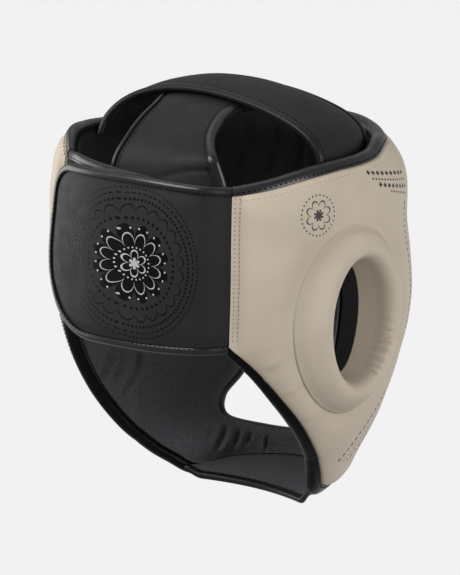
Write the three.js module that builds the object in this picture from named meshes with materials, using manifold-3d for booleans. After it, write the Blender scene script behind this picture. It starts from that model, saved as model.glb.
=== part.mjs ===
// Muay thai headgear: a padded leather shell with raised ear rings, a closure flap at the back
// and a crown of one band and one strap. Millimetres, +Z up. The wearer faces -Y, their left is
// +X, and the origin is the middle of the head hollow at the height of the brow.

import * as THREE from "three";
import Module from "manifold-3d";

const wasm = await Module();
wasm.setup();

const { clamp, degToRad, lerp, smoothstep } = THREE.MathUtils;

// Head form: plan sections of the surface that the sewn edges follow, from crown to chin.
const HEAD_SECTIONS = [
  { z: 95, halfWidth: 84, front: 82, back: 84, frontSquare: 2 },
  { z: 52, halfWidth: 88, front: 93, back: 87, frontSquare: 2.05 },
  { z: 20, halfWidth: 90, front: 103, back: 89, frontSquare: 2.1 },
  { z: -20, halfWidth: 91, front: 109, back: 89, frontSquare: 2.2 },
  { z: -60, halfWidth: 88, front: 109, back: 86, frontSquare: 2.15 },
  { z: -100, halfWidth: 80, front: 99, back: 76, frontSquare: 2.05 },
  { z: -135, halfWidth: 66, front: 84, back: 63, frontSquare: 1.95 },
  { z: -165, halfWidth: 52, front: 68, back: 52, frontSquare: 1.9 },
];
const BACK_SQUARE = 2.6;

// Sewn edges of the shell by the angle from the front, in degrees: heights on the right and left.
const TOP_EDGE = [
  { turn: 0, right: 64, left: 64 },
  { turn: 20, right: 63.5, left: 66 },
  { turn: 35, right: 61, left: 65.5 },
  { turn: 50, right: 58.5, left: 62 },
  { turn: 62, right: 57, left: 59 },
  { turn: 72, right: 53, left: 58 },
  { turn: 82, right: 51.2, left: 57.5 },
  { turn: 95, right: 49.2, left: 57.5 },
  { turn: 110, right: 45.6, left: 57.5 },
  { turn: 125, right: 41, left: 56.3 },
  { turn: 133, right: 39, left: 51.8 },
  { turn: 140, right: 37.4, left: 46 },
  { turn: 150, right: 37.4, left: 45.4 },
  { turn: 160, right: 37.4, left: 44.2 },
  { turn: 172, right: 37.4, left: 42.5 },
  { turn: 182, right: 37.4, left: 40.5 },
  { turn: 220, right: 37.4, left: 33 },
];
const LOWER_EDGE = [
  { turn: 0, right: -151, left: -151 },
  { turn: 40, right: -150.5, left: -154 },
  { turn: 64, right: -148.5, left: -156.5 },
  { turn: 75, right: -145, left: -149 },
  { turn: 85, right: -131.5, left: -138 },
  { turn: 95, right: -112.5, left: -122.5 },
  { turn: 105, right: -96.5, left: -105 },
  { turn: 115, right: -82, left: -87 },
  { turn: 128, right: -63, left: -65 },
  { turn: 140, right: -49, left: -49 },
];
const SEAM_TURN = 140;

// Face opening: right half of its sewn edge, seen from the front.
const FACE_OUTLINE = [
  { x: 0, z: -10 },
  { x: 44, z: -12 },
  { x: 61, z: -29 },
  { x: 60, z: -54 },
  { x: 53, z: -80 },
  { x: 51, z: -101 },
  { x: 55, z: -117.5 },
  { x: 48.5, z: -131 },
  { x: 26, z: -136.5 },
  { x: 0, z: -137 },
];

// Padding of the shell: half thickness of a sewn edge, and the swell on top of it.
const EDGE_HALF = 3;
const PAD_OUT = 5.5;
const PAD_IN = 8;
const ROLL_REACH = 16;
const FACE_ROLL = 8;
const LINING_REACH = 35;
const SEAM_STRIP = 5;
const CHEEK = { turn: 56, z: -38, turnSpread: 24, zSpread: 30, swell: 2.2 };
const BROW = { turn: 52, z: 36, turnSpread: 28, zSpread: 18, swell: 4 };
const CUSHION = { turn: 72, z: -42, turnSpread: 16, zSpread: 42, swell: 11 };
const LINING_THICKNESS = 2;
const GAP = 0.35;

// Ear rings: ellipses in the side view, each shifted along Y, and the section from the hole outwards.
const EAR = { y: -4, z: -39.5, lean: 0.08, clear: 2.2 };
const EAR_OUTER = { shift: 0, halfLength: 50.5, halfHeight: 57 };
const EAR_HOLE = { shift: 0, halfLength: 25, halfHeight: 36 };
const EAR_DEEP = { shift: 2.5, halfLength: 20, halfHeight: 33 };
const EAR_SECTION = [
  { reach: 0, rise: 4 },
  { reach: 0.07, rise: 9.5 },
  { reach: 0.18, rise: 13.5 },
  { reach: 0.4, rise: 15.5 },
  { reach: 0.62, rise: 14.4 },
  { reach: 0.82, rise: 11.2 },
  { reach: 0.94, rise: 8.7 },
  { reach: 1, rise: 7.2 },
];
const EAR_VALLEY = { depth: 1.4, reach: 10 };

// Closure: the tab on the left seam, and the flap that runs round the back from the right seam.
const TAB = { from: 140.4, to: 212, bindingTo: 212, inner: -3, outer: 1.5, bottom: -45 };
const FLAP = {
  seamGap: 0.3, endTurn: 214, inner: 2, outer: 7.5, rootTurn: 7,
  rootTop: 37.6, endTop: 40.2, rootBottom: -48.6, endBottom: -50.8, settled: 0.6,
};
const FLAP_CORNERS = { topLength: 22, topHeight: 15, bottomLength: 44, bottomHeight: 38 };

// Crown: a band from side to side with its ends inside the rim, and a strap from it to the back.
const CROWN = {
  rearEndLeft: 28, rearEndRight: 11, frontEndY: -48, rearTopY: 13, frontTopY: -48,
  rearTop: 88.7, frontTop: 86.2, bulge: 5.5, lean: 7, arch: 1.12, thickness: 3.5,
  rearInset: 7, frontInset: 10, rimDrop: 1.5,
};
const STRAP_SECTIONS = [
  { y: -8, z: 87.5, left: 42, right: -15, onWall: 0 },
  { y: 3, z: 86, left: 41, right: -15.5, onWall: 0 },
  { y: 15, z: 82.7, left: 38, right: -16, onWall: 0 },
  { y: 36, z: 80.5, left: 24, right: -22, onWall: 0 },
  { y: 56, z: 75, left: 16, right: -31.5, onWall: 0 },
  { y: 72, z: 63, left: 12.5, right: -44, onWall: 0.4 },
  { y: 82, z: 48, left: 17, right: -49.6, onWall: 1 },
  { y: 82, z: 30, left: 19, right: -53, onWall: 1 },
];
const STRAP = { thickness: 3.5, wallInset: 4.6, boundFrom: 1.9, boundTo: 6.6, nudge: 0.02 };
const CROWN_HALF_SPAN = 80;

// Chin shelf: the floor between the jaw corners, sloping down to its rear edge.
const SHELF = {
  turn: 63, frontZ: -154, rearZ: -158, rearY: -24, bow: 9, halfLength: 46, boundHalf: 42, thickness: 4, reach: 6.8,
};

// Rolled bindings: how far each one reaches to both sides of the wall, and its height.
const WALL_BINDING = { outer: 3.6, inner: -5.8, height: 5.5 };
const FACE_BINDING = { outer: 3.6, inner: -5.6, height: 3 };
const FLAP_BINDING = { outer: 3.3, inner: -2.9, height: 5 };
const TAB_BINDING = { outer: 1.5, inner: -3.4, height: 5 };
const STRAP_BINDING = { outer: 0.8, inner: -4.3, height: 4 };
const CHIN_CORNER = { turn: -72, spread: 12, grow: 0.9 };
const BEAD = { shoulder: 0.55, crest: 0.5 };

// Steps of the faceted surfaces.
const STEPS = {
  wallLength: 38, wallHeight: 9, faceHalf: 22, earRound: 24, tabLength: 18, tabHeight: 3, tabBound: 20,
  flapHeight: 4, flapRun: 9, flapCorner: 9, flapMeasure: 60, crownSwing: 22, crownAcross: 5,
  strapLength: 20, strapAcross: 5, strapBound: 14, shelfTurn: 18, shelfDepth: 3, shelfBound: 16,
};

// Smooth curves through the rows of a table: its other columns as functions of one column.
function curveThrough(rows, by) {
  const columns = Object.keys(rows[0]).filter((name) => name !== by);
  const sorted = rows.toSorted((a, b) => a[by] - b[by]);
  const places = sorted.map((row) => row[by]);
  const values = sorted.flatMap((row) => columns.map((name) => row[name]));
  const curve = new THREE.CubicInterpolant(places, values, columns.length, []);
  return (place) => {
    const result = curve.evaluate(clamp(place, places[0], places.at(-1)));
    return Object.fromEntries(columns.map((name, k) => [name, result[k]]));
  };
}

const sectionAt = curveThrough(HEAD_SECTIONS, "z");
const strapAt = curveThrough(STRAP_SECTIONS.map((row, step) => ({ step, ...row })), "step");

const steps = (count) => Array.from({ length: count + 1 }, (_, k) => k / count);
const spread = (from, to, count) => steps(count).map((k) => lerp(from, to, k));

// Point of the head form at an angle from the front, in degrees, and a height.
function headPoint(turn, z) {
  const { halfWidth, front, back, frontSquare } = sectionAt(z);
  const side = Math.sin(degToRad(turn));
  const ahead = Math.cos(degToRad(turn));
  const power = 2 / (ahead > 0 ? frontSquare : BACK_SQUARE);
  const x = halfWidth * Math.sign(side) * Math.abs(side) ** power;
  const y = (ahead > 0 ? -front : back) * Math.abs(ahead) ** power;
  return new THREE.Vector3(x, y, z);
}

function headNormal(turn, z) {
  const along = headPoint(turn + 0.1, z).sub(headPoint(turn - 0.1, z));
  const upward = headPoint(turn, z + 0.5).sub(headPoint(turn, z - 0.5));
  return along.cross(upward).normalize();
}

const offPoint = (turn, z, offset) => headPoint(turn, z).addScaledVector(headNormal(turn, z), offset);

// Angle from the front at which the head form has this y at a height.
function turnOf(y, z) {
  const { front, back, frontSquare } = sectionAt(z);
  const ahead = y < 0 ? (-y / front) ** (frontSquare / 2) : -((y / back) ** (BACK_SQUARE / 2));
  return THREE.MathUtils.radToDeg(Math.acos(clamp(ahead, -1, 1)));
}

// Length along the head form from the front to an angle on either side, negative to the right.
const ARC = { z: -20, to: 230, steps: 920 };
const arcPoints = spread(0, ARC.to, ARC.steps).map((turn) => headPoint(turn, ARC.z));
const arcTravel = [0];
arcPoints.slice(1).forEach((at, k) => arcTravel.push(arcTravel[k] + at.distanceTo(arcPoints[k])));

function arcOf(turn) {
  const place = (Math.abs(turn) / ARC.to) * ARC.steps;
  const k = Math.min(Math.floor(place), ARC.steps - 1);
  return Math.sign(turn) * lerp(arcTravel[k], arcTravel[k + 1], place - k);
}

function turnAt(arc) {
  const k = arcTravel.findLastIndex((length) => length <= Math.abs(arc));
  const share = (Math.abs(arc) - arcTravel[k]) / (arcTravel[k + 1] - arcTravel[k]);
  return (Math.sign(arc) * (k + share) * ARC.to) / ARC.steps;
}

// Height of a sewn edge at an angle, smooth along the arc.
function edgeThrough(rows) {
  const heightAt = curveThrough(rows.map(({ turn, ...sides }) => ({ arc: arcOf(turn), ...sides })), "arc");
  return (turn) => heightAt(Math.abs(arcOf(turn)))[turn < 0 ? "right" : "left"];
}

const topEdge = edgeThrough(TOP_EDGE);
const lowerEdge = edgeThrough(LOWER_EDGE);

// Padding that rolls up from a sewn edge: 0 on the edge, 1 from the given reach on.
function roll(distance, reach) {
  const left = 1 - clamp(distance / reach, 0, 1);
  return Math.sqrt(1 - left * left);
}

// Whole closed outline of the face opening as points of the front view.
const faceHalf = new THREE.SplineCurve(FACE_OUTLINE.map(({ x, z }) => new THREE.Vector2(x, z)));
const faceSide = faceHalf.getSpacedPoints(STEPS.faceHalf);
const faceLoop = [
  ...faceSide,
  ...faceSide.slice(1, -1).reverse().map(({ x, y }) => new THREE.Vector2(-x, y)),
];

// Whether the front view of a point lies in the face opening, by counting crossed sides.
function inFace({ x, z }) {
  const crossed = faceLoop.filter((corner, k) => {
    const next = faceLoop[(k + 1) % faceLoop.length];
    const share = (z - corner.y) / (next.y - corner.y);
    return corner.y > z !== next.y > z && x < lerp(corner.x, next.x, share);
  });
  return crossed.length % 2 === 1;
}

function faceDistance(point) {
  if (inFace(point)) return 0;
  return Math.min(...faceLoop.map((corner) => Math.hypot(corner.x - point.x, corner.y - point.z)));
}

// Distance past the outer edge of an ear ring, measured in the side view.
function earDistance({ y, z }) {
  const up = z - EAR.z;
  const along = y - EAR.y - EAR.lean * up;
  return (Math.hypot(along / EAR_OUTER.halfLength, up / EAR_OUTER.halfHeight) - 1) * EAR_OUTER.halfLength;
}

// Distance from a point of the wall to its slanted lower edge.
function lowerDistance(turn, z) {
  const ahead = headPoint(turn + 1, z).sub(headPoint(turn - 1, z)).length();
  const slope = (lowerEdge(turn + 1) - lowerEdge(turn - 1)) / ahead;
  return (z - lowerEdge(turn)) / Math.hypot(1, slope);
}

// Swell of the padding around a place, the same on both sides.
function hump(turn, z, at) {
  const aside = (Math.abs(turn) - at.turn) / at.turnSpread;
  const above = (z - at.z) / at.zSpread;
  return at.swell * Math.exp(-aside * aside - above * above);
}

function shellOutside(turn, z) {
  const point = headPoint(turn, z);
  const arc = headPoint(turn, z).sub(headPoint(turn - 1, z)).length();
  const seam = (SEAM_TURN - Math.abs(turn)) * arc - SEAM_STRIP;
  const edges = [topEdge(turn) - z, lowerDistance(turn, z), seam];
  const sides = edges.reduce((product, distance) => product * roll(distance, ROLL_REACH), 1);
  const swell = point.y < 0 ? sides * roll(faceDistance(point), FACE_ROLL) : sides;
  const valley = EAR_VALLEY.depth * (1 - roll(Math.max(earDistance(point), 0), EAR_VALLEY.reach));
  const pad = PAD_OUT + hump(turn, z, CHEEK) + hump(turn, z, BROW);
  return EDGE_HALF + (pad - valley) * swell;
}

function shellInside(turn, z) {
  const point = headPoint(turn, z);
  const arc = headPoint(turn, z).sub(headPoint(turn - 1, z)).length();
  const seam = (SEAM_TURN - Math.abs(turn)) * arc;
  const edges = [topEdge(turn) - z, lowerDistance(turn, z), seam];
  if (point.y < 0) edges.push(faceDistance(point));
  const swell = edges.reduce((product, distance) => product * smoothstep(distance, 0, LINING_REACH), 1);
  return -EDGE_HALF - (PAD_IN + hump(turn, z, CUSHION)) * swell;
}

function geometryOf(points, faces) {
  const geometry = new THREE.BufferGeometry().setFromPoints(points);
  geometry.setIndex(faces);
  geometry.computeVertexNormals();
  return geometry;
}

// Six times the volume that the faces enclose, negative where they point inwards.
function signedVolume(points, faces) {
  let sum = 0;
  for (let k = 0; k < faces.length; k += 3) {
    const [a, b, c] = [points[faces[k]], points[faces[k + 1]], points[faces[k + 2]]];
    sum += a.dot(b.clone().cross(c));
  }
  return sum;
}

// Closed solid through stations. Each station is a loop of a front and a back row of points that
// run the same way, so the end stations close as strips. A ring joins its last station to its first.
function loft(stations, ring = false) {
  const row = stations[0].front.length;
  const loop = 2 * row;
  const points = stations.flatMap(({ front, back }) => [...front, ...back.toReversed()]);
  const faces = [];
  const addQuad = (a, b, c, d) => faces.push(a, b, c, a, c, d);
  const spans = ring ? stations.length : stations.length - 1;
  for (let span = 0; span < spans; span++) {
    const here = span * loop;
    const next = ((span + 1) % stations.length) * loop;
    for (let k = 0; k < loop; k++) {
      const after = (k + 1) % loop;
      if (k < row) addQuad(here + k, next + k, next + after, here + after);
      else addQuad(next + k, next + after, here + after, here + k);
    }
  }
  if (!ring) {
    const last = (stations.length - 1) * loop;
    for (let k = 0; k < row - 1; k++) {
      const far = loop - 1 - k;
      addQuad(k, k + 1, far - 1, far);
      addQuad(last + far, last + far - 1, last + k + 1, last + k);
    }
  }
  if (signedVolume(points, faces) < 0) faces.reverse();
  return geometryOf(points, faces);
}

function toSolid(geometry) {
  return new wasm.Manifold(new wasm.Mesh({
    numProp: 3,
    vertProperties: Float32Array.from(geometry.attributes.position.array),
    triVerts: Uint32Array.from(geometry.index.array),
  }));
}

function cutAway(geometry, cutters) {
  const solid = cutters.reduce((rest, cutter) => rest.subtract(toSolid(cutter)), toSolid(geometry));
  const mesh = solid.getMesh();
  const points = [];
  for (let k = 0; k < mesh.vertProperties.length; k += mesh.numProp) {
    points.push(new THREE.Vector3(...mesh.vertProperties.slice(k, k + 3)));
  }
  return geometryOf(points, Array.from(mesh.triVerts));
}

// Straight prism over a closed outline, between two places along an axis.
function prism(outline, toPoint, from, to) {
  const half = outline.length / 2;
  const pair = (at) => ({
    front: outline.slice(0, half).map((corner) => toPoint(corner, at)),
    back: outline.slice(half).reverse().map((corner) => toPoint(corner, at)),
  });
  return loft([pair(from), pair(to)]);
}

// Point of an ellipse round the ear in the side view.
function earPlace({ shift, halfLength, halfHeight }, angle) {
  const up = halfHeight * Math.sin(angle);
  return { y: EAR.y + shift + halfLength * Math.cos(angle) + EAR.lean * up, z: EAR.z + up };
}

const EAR_CUT = { sides: 44, from: 30, to: 140 };
const FACE_CUT = { from: -20, to: -170 };

function earCutter(side, oval) {
  const outline = Array.from({ length: EAR_CUT.sides }, (_, k) => earPlace(oval, (2 * Math.PI * k) / EAR_CUT.sides));
  const toPoint = ({ y, z }, x) => new THREE.Vector3(side * x, y, z);
  return prism(outline, toPoint, EAR_CUT.from, EAR_CUT.to);
}

function faceCutter() {
  const toPoint = ({ x, y: z }, y) => new THREE.Vector3(x, y, z);
  return prism(faceLoop, toPoint, FACE_CUT.from, FACE_CUT.to);
}

// Angles of the wall's stations, evenly along the head form between the seam strips.
const seamArc = arcOf(SEAM_TURN);
const wallArcs = spread(-seamArc + SEAM_STRIP, seamArc - SEAM_STRIP, STEPS.wallLength);
const wallTurns = [-seamArc, ...wallArcs, seamArc].map(turnAt);

// Wall between the lower and the top edge, closer steps near both, with two given faces.
function wall(outside, inside) {
  return loft(wallTurns.map((turn) => {
    const heights = steps(STEPS.wallHeight).map((k) => {
      const share = (1 - Math.cos(Math.PI * k)) / 2;
      return lerp(lowerEdge(turn), topEdge(turn), share);
    });
    return {
      front: heights.map((z) => offPoint(turn, z, outside(turn, z))),
      back: heights.map((z) => offPoint(turn, z, inside(turn, z))),
    };
  }));
}

function outerShell() {
  const { shift, halfLength, halfHeight } = EAR_OUTER;
  const cut = { shift, halfLength: halfLength + GAP, halfHeight: halfHeight + GAP };
  const ears = [-1, 1].map((side) => earCutter(side, cut));
  return cutAway(wall(shellOutside, shellInside), [...ears, faceCutter()]);
}

function innerLining() {
  const outside = (turn, z) => shellInside(turn, z) - GAP;
  const inside = (turn, z) => outside(turn, z) - LINING_THICKNESS;
  const ears = [-1, 1].map((side) => earCutter(side, EAR_DEEP));
  return cutAway(wall(outside, inside), [...ears, faceCutter()]);
}

// Padded ring through the wall, raised straight out from the side of the head. Its hole narrows
// from the outer face to the lining.
function earRing(side) {
  const ovalAt = (from, reach) => ({
    shift: lerp(from.shift, EAR_OUTER.shift, reach),
    halfLength: lerp(from.halfLength, EAR_OUTER.halfLength, reach),
    halfHeight: lerp(from.halfHeight, EAR_OUTER.halfHeight, reach),
  });
  const stations = Array.from({ length: STEPS.earRound }, (_, k) => {
    const angle = (2 * Math.PI * k) / STEPS.earRound;
    const place = (from, reach, offsetAt) => {
      const { y, z } = earPlace(ovalAt(from, reach), angle);
      const turn = turnOf(y, z);
      return new THREE.Vector3(side * (headPoint(turn, z).x + offsetAt(turn, z)), y, z);
    };
    const deep = (turn, z) => (shellInside(side * turn, z) + EAR.clear) / headNormal(turn, z).x;
    return {
      front: EAR_SECTION.map(({ reach, rise }) => place(EAR_HOLE, reach, () => rise)),
      back: EAR_SECTION.map(({ reach }) => place(EAR_DEEP, reach, deep)),
    };
  });
  return loft(stations, true);
}

function rearTab() {
  return loft(spread(TAB.from, TAB.to, STEPS.tabLength).map((turn) => {
    const heights = steps(STEPS.tabHeight).map((share) => lerp(TAB.bottom, topEdge(turn), share));
    return {
      front: heights.map((z) => offPoint(turn, z, TAB.outer)),
      back: heights.map((z) => offPoint(turn, z, TAB.inner)),
    };
  }));
}

// Flap: angles run on past 180 degrees from the right seam to the left, as negative turns.
const flapTurn = (k) => -lerp(SEAM_TURN + FLAP.seamGap, FLAP.endTurn, k);

const flapLine = steps(STEPS.flapMeasure).map((k) => offPoint(flapTurn(k), 0, FLAP.outer));
const flapLength = flapLine.slice(1).reduce((sum, at, k) => sum + at.distanceTo(flapLine[k]), 0);

// How far an elliptical corner pulls an edge back at this distance from the free end.
function cornerPull(fromEnd, length, height) {
  const into = clamp(1 - fromEnd / length, 0, 1);
  return height * (1 - Math.sqrt(1 - into * into));
}

function flapHeights(k) {
  const fromEnd = (1 - k) * flapLength;
  const settle = smoothstep(k, 0, FLAP.settled);
  const { topLength, topHeight, bottomLength, bottomHeight } = FLAP_CORNERS;
  return {
    top: lerp(FLAP.rootTop, FLAP.endTop, settle) - cornerPull(fromEnd, topLength, topHeight),
    bottom: lerp(FLAP.rootBottom, FLAP.endBottom, settle) + cornerPull(fromEnd, bottomLength, bottomHeight),
  };
}

// Places along the flap, closer together at its root and in its rounded corners.
const ROOT_PLACES = [0, 0.03, 0.06, 0.1];
const CORNER_START = 0.66;
const flapPlaces = [
  ...ROOT_PLACES,
  ...spread(ROOT_PLACES.at(-1), CORNER_START, STEPS.flapRun).slice(1),
  ...steps(STEPS.flapCorner).slice(1).map((k) => lerp(CORNER_START, 1, Math.sin((k * Math.PI) / 2))),
];

function flapOffset(k, from, to) {
  return lerp(from, to, smoothstep(k * (FLAP.endTurn - SEAM_TURN), 0, FLAP.rootTurn));
}

function closureFlap() {
  return loft(flapPlaces.map((k) => {
    const { top, bottom } = flapHeights(k);
    const heights = steps(STEPS.flapHeight).map((share) => lerp(bottom, top, share));
    const turn = flapTurn(k);
    return {
      front: heights.map((z) => offPoint(turn, z, flapOffset(k, EDGE_HALF, FLAP.outer))),
      back: heights.map((z) => offPoint(turn, z, flapOffset(k, -EDGE_HALF, FLAP.inner))),
    };
  }));
}

// Crown band: an arch at each place across it, from the left rim to the right rim.
function crownPoint(across, swing, depth) {
  const topY = lerp(CROWN.rearTopY, CROWN.frontTopY, across);
  const ends = [[1, CROWN.rearEndLeft], [-1, CROWN.rearEndRight]].map(([side, rearEnd]) => {
    const endY = lerp(rearEnd, CROWN.frontEndY, across);
    const turn = side * turnOf(endY, topEdge(side * SEAM_TURN / 2));
    const inset = lerp(CROWN.rearInset, CROWN.frontInset, across);
    return offPoint(turn, topEdge(turn) - CROWN.rimDrop, -inset - depth);
  });
  const lift = Math.max(Math.sin(swing), 0) ** CROWN.arch;
  const share = (1 - Math.cos(swing)) / 2;
  const rim = ends[0].clone().lerp(ends[1], share);
  const top = lerp(CROWN.rearTop, CROWN.frontTop, across) + CROWN.bulge * 4 * across * (1 - across);
  const lean = CROWN.lean * lift * lift * Math.cos(swing);
  return new THREE.Vector3(
    rim.x,
    lerp(rim.y, topY, lift),
    lerp(rim.z, top - depth, lift) + lean,
  );
}

const crownSwings = spread(0, Math.PI, STEPS.crownSwing);

function crownBand() {
  return loft(crownSwings.map((swing) => ({
    front: steps(STEPS.crownAcross).map((across) => crownPoint(across, swing, 0)),
    back: steps(STEPS.crownAcross).map((across) => crownPoint(across, swing, CROWN.thickness)),
  })));
}

// Rear strap: flat under the crown band, then down along the inner side of the rear wall.
function strapPoint(step, across) {
  const { y, z, left, right, onWall } = strapAt(step);
  const x = lerp(left, right, across);
  const share = x / CROWN_HALF_SPAN;
  const sag = (z - topEdge(SEAM_TURN)) * (1 - (1 - share * share) ** (CROWN.arch / 2));
  const lean = CROWN.lean * (1 - share * share) * share;
  const { halfWidth, back } = sectionAt(z);
  const wallShare = Math.abs(x) / (halfWidth - STRAP.wallInset);
  const wallY = (back - STRAP.wallInset) * (1 - wallShare ** BACK_SQUARE) ** (1 / BACK_SQUARE);
  return new THREE.Vector3(x, lerp(y, wallY, onWall), z + (lean - sag) * (1 - onWall));
}

function strapFrame(step, across) {
  const { nudge } = STRAP;
  const along = strapPoint(step + nudge, across).sub(strapPoint(step - nudge, across)).normalize();
  const aside = strapPoint(step, across - nudge).sub(strapPoint(step, across + nudge)).normalize();
  const out = aside.clone().cross(along).normalize();
  return { at: strapPoint(step, across), aside, out };
}

const strapPlaces = spread(STRAP.nudge, STRAP_SECTIONS.length - 1 - STRAP.nudge, STEPS.strapLength);

function crownRearStrap() {
  return loft(strapPlaces.map((step) => {
    const frames = steps(STEPS.strapAcross).map((across) => strapFrame(step, across));
    return {
      front: frames.map(({ at }) => at),
      back: frames.map(({ at, out }) => at.clone().addScaledVector(out, -STRAP.thickness)),
    };
  }));
}

function shelfRear(x) {
  const share = x / SHELF.halfLength;
  return new THREE.Vector3(x, SHELF.rearY - SHELF.bow * (1 - share * share), SHELF.rearZ);
}

function chinShelf() {
  const row = (turn, down) => {
    const front = offPoint(turn, SHELF.frontZ - down, -SHELF.reach);
    const rear = shelfRear(front.x);
    rear.z -= down;
    return steps(STEPS.shelfDepth).map((share) => front.clone().lerp(rear, share));
  };
  return loft(spread(-SHELF.turn, SHELF.turn, STEPS.shelfTurn).map((turn) => ({
    front: row(turn, 0),
    back: row(turn, SHELF.thickness),
  })));
}

// Rolled binding that sits on an edge: a six-sided bead, where away points off the edge. It may
// grow in height along its path.
function binding(path, { outer, inner, height }, ring = false) {
  const middle = (outer + inner) / 2;
  const half = (outer - inner) / 2;
  return loft(path.map(({ at, out, away, grow = 1 }) => {
    const section = [
      { out: half, away: GAP },
      { out: half, away: height * grow * BEAD.shoulder },
      { out: half * BEAD.crest, away: height * grow },
    ];
    const corner = (side) => (row) =>
      at.clone().addScaledVector(out, middle + side * row.out).addScaledVector(away, row.away);
    return { front: section.map(corner(1)), back: section.map(corner(-1)) };
  }), ring);
}

// Edge path on the head form, from a list of angles and heights, with away to its left or right.
// Both ends close square to the seam.
function edgePath(places, hand) {
  const points = places.map(({ turn, z, lift = 0 }) => offPoint(turn, z, lift));
  const last = points.length - 1;
  return places.map(({ turn, z }, k) => {
    const before = points[Math.max(k - 1, 0)];
    const after = points[Math.min(k + 1, last)];
    const out = headNormal(turn, z);
    const along = after.clone().sub(before).normalize();
    if (k === 0 || k === last) {
      const level = headPoint(turn + 0.1, z).sub(headPoint(turn - 0.1, z));
      along.copy(level).multiplyScalar(Math.sign(along.dot(level)));
    }
    return { at: points[k], out, away: out.clone().cross(along).multiplyScalar(hand).normalize() };
  });
}

function topRimBinding() {
  return binding(edgePath(wallTurns.map((turn) => ({ turn, z: topEdge(turn) })), 1), WALL_BINDING);
}

// The lower binding is broader at the right corner of the chin.
function lowerEdgeBinding() {
  const path = edgePath(wallTurns.map((turn) => ({ turn, z: lowerEdge(turn) })), -1);
  const { turn: middle, spread: reach, grow } = CHIN_CORNER;
  const grown = path.map((station, k) => {
    const aside = (wallTurns[k] - middle) / reach;
    return { ...station, grow: 1 + grow * Math.exp(-aside * aside) };
  });
  return binding(grown, WALL_BINDING);
}

// The face opening is cut straight through, so its binding is as deep as the wall is along Y.
function faceOpeningBinding() {
  const count = faceLoop.length;
  const path = faceLoop.map(({ x, y: z }, k) => {
    const { halfWidth, frontSquare } = sectionAt(z);
    const side = (Math.abs(x) / halfWidth) ** (frontSquare / 2);
    const turn = Math.sign(x) * THREE.MathUtils.radToDeg(Math.asin(side));
    const along = faceLoop[(k + 1) % count].clone().sub(faceLoop[(k + count - 1) % count]).normalize();
    return {
      at: headPoint(turn, z),
      out: new THREE.Vector3(0, 1 / headNormal(turn, z).y, 0),
      away: new THREE.Vector3(along.y, 0, -along.x),
    };
  });
  return binding(path, FACE_BINDING, true);
}

function flapBinding() {
  const place = (k, z) => ({ turn: flapTurn(k), z, lift: flapOffset(k, 0, (FLAP.inner + FLAP.outer) / 2) });
  const top = flapPlaces.map((k) => place(k, flapHeights(k).top));
  const bottom = flapPlaces.map((k) => place(k, flapHeights(k).bottom)).reverse();
  const end = steps(STEPS.flapHeight).slice(1, -1).map((k) => place(1, lerp(top.at(-1).z, bottom[0].z, k)));
  const path = edgePath([...top, ...end, ...bottom], -1);
  return binding(path, FLAP_BINDING);
}

function tabBinding() {
  const turns = spread(TAB.from, TAB.bindingTo, STEPS.tabBound);
  return binding(edgePath(turns.map((turn) => ({ turn, z: topEdge(turn) })), 1), TAB_BINDING);
}

function crownBinding(across) {
  const path = crownSwings.map((swing) => {
    const at = crownPoint(across, swing, 0);
    const out = at.clone().sub(crownPoint(across, swing, CROWN.thickness)).normalize();
    const away = new THREE.Vector3(0, across > 0.5 ? -1 : 1, 0);
    return { at, out, away };
  });
  return binding(path, STRAP_BINDING);
}

function strapBinding(across) {
  const path = spread(STRAP.boundFrom, STRAP.boundTo, STEPS.strapBound).map((step) => {
    const { at, out, aside } = strapFrame(step, across);
    return { at, out, away: aside.multiplyScalar(across > 0.5 ? -1 : 1) };
  });
  return binding(path, STRAP_BINDING);
}

function shelfBinding() {
  const out = new THREE.Vector3(0, 0, 1);
  const away = new THREE.Vector3(0, 1, 0);
  const places = spread(-SHELF.boundHalf, SHELF.boundHalf, STEPS.shelfBound);
  const path = places.map((x) => ({ at: shelfRear(x), out, away }));
  return binding(path, STRAP_BINDING);
}

const SAND_LEATHER = { color: 0xb6ab99, roughness: 0.55 };
const DARK_LEATHER = { color: 0x2c2c2d, roughness: 0.6 };
const BLACK_BINDING = { color: 0x1b1b1c, roughness: 0.35 };
const BLACK_LINING = { color: 0x262628, roughness: 0.7 };
const LOOP_CLOTH = { color: 0x1e1e1f, roughness: 0.95 };

const PIECES = [
  ["outer_shell", outerShell(), SAND_LEATHER],
  ["inner_lining", innerLining(), BLACK_LINING],
  ["right_ear_ring", earRing(-1), SAND_LEATHER],
  ["left_ear_ring", earRing(1), SAND_LEATHER],
  ["closure_flap", closureFlap(), DARK_LEATHER],
  ["rear_tab", rearTab(), LOOP_CLOTH],
  ["crown_band", crownBand(), DARK_LEATHER],
  ["crown_rear_strap", crownRearStrap(), DARK_LEATHER],
  ["chin_shelf", chinShelf(), BLACK_LINING],
  ["top_rim_binding", topRimBinding(), BLACK_BINDING],
  ["lower_edge_binding", lowerEdgeBinding(), BLACK_BINDING],
  ["face_opening_binding", faceOpeningBinding(), BLACK_BINDING],
  ["flap_binding", flapBinding(), BLACK_BINDING],
  ["tab_binding", tabBinding(), BLACK_BINDING],
  ["crown_rear_binding", crownBinding(0), BLACK_BINDING],
  ["crown_front_binding", crownBinding(1), BLACK_BINDING],
  ["strap_left_binding", strapBinding(0), BLACK_BINDING],
  ["strap_right_binding", strapBinding(1), BLACK_BINDING],
  ["shelf_binding", shelfBinding(), BLACK_BINDING],
];

const headgear = new THREE.Group();
for (const [name, geometry, look] of PIECES) {
  const material = new THREE.MeshStandardMaterial({ ...look, metalness: 0 });
  const mesh = new THREE.Mesh(geometry, material);
  mesh.name = name;
  headgear.add(mesh);
}

export default headgear;
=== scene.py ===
import math

import bmesh
import bpy
import numpy as np
from mathutils import Matrix, Vector


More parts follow.
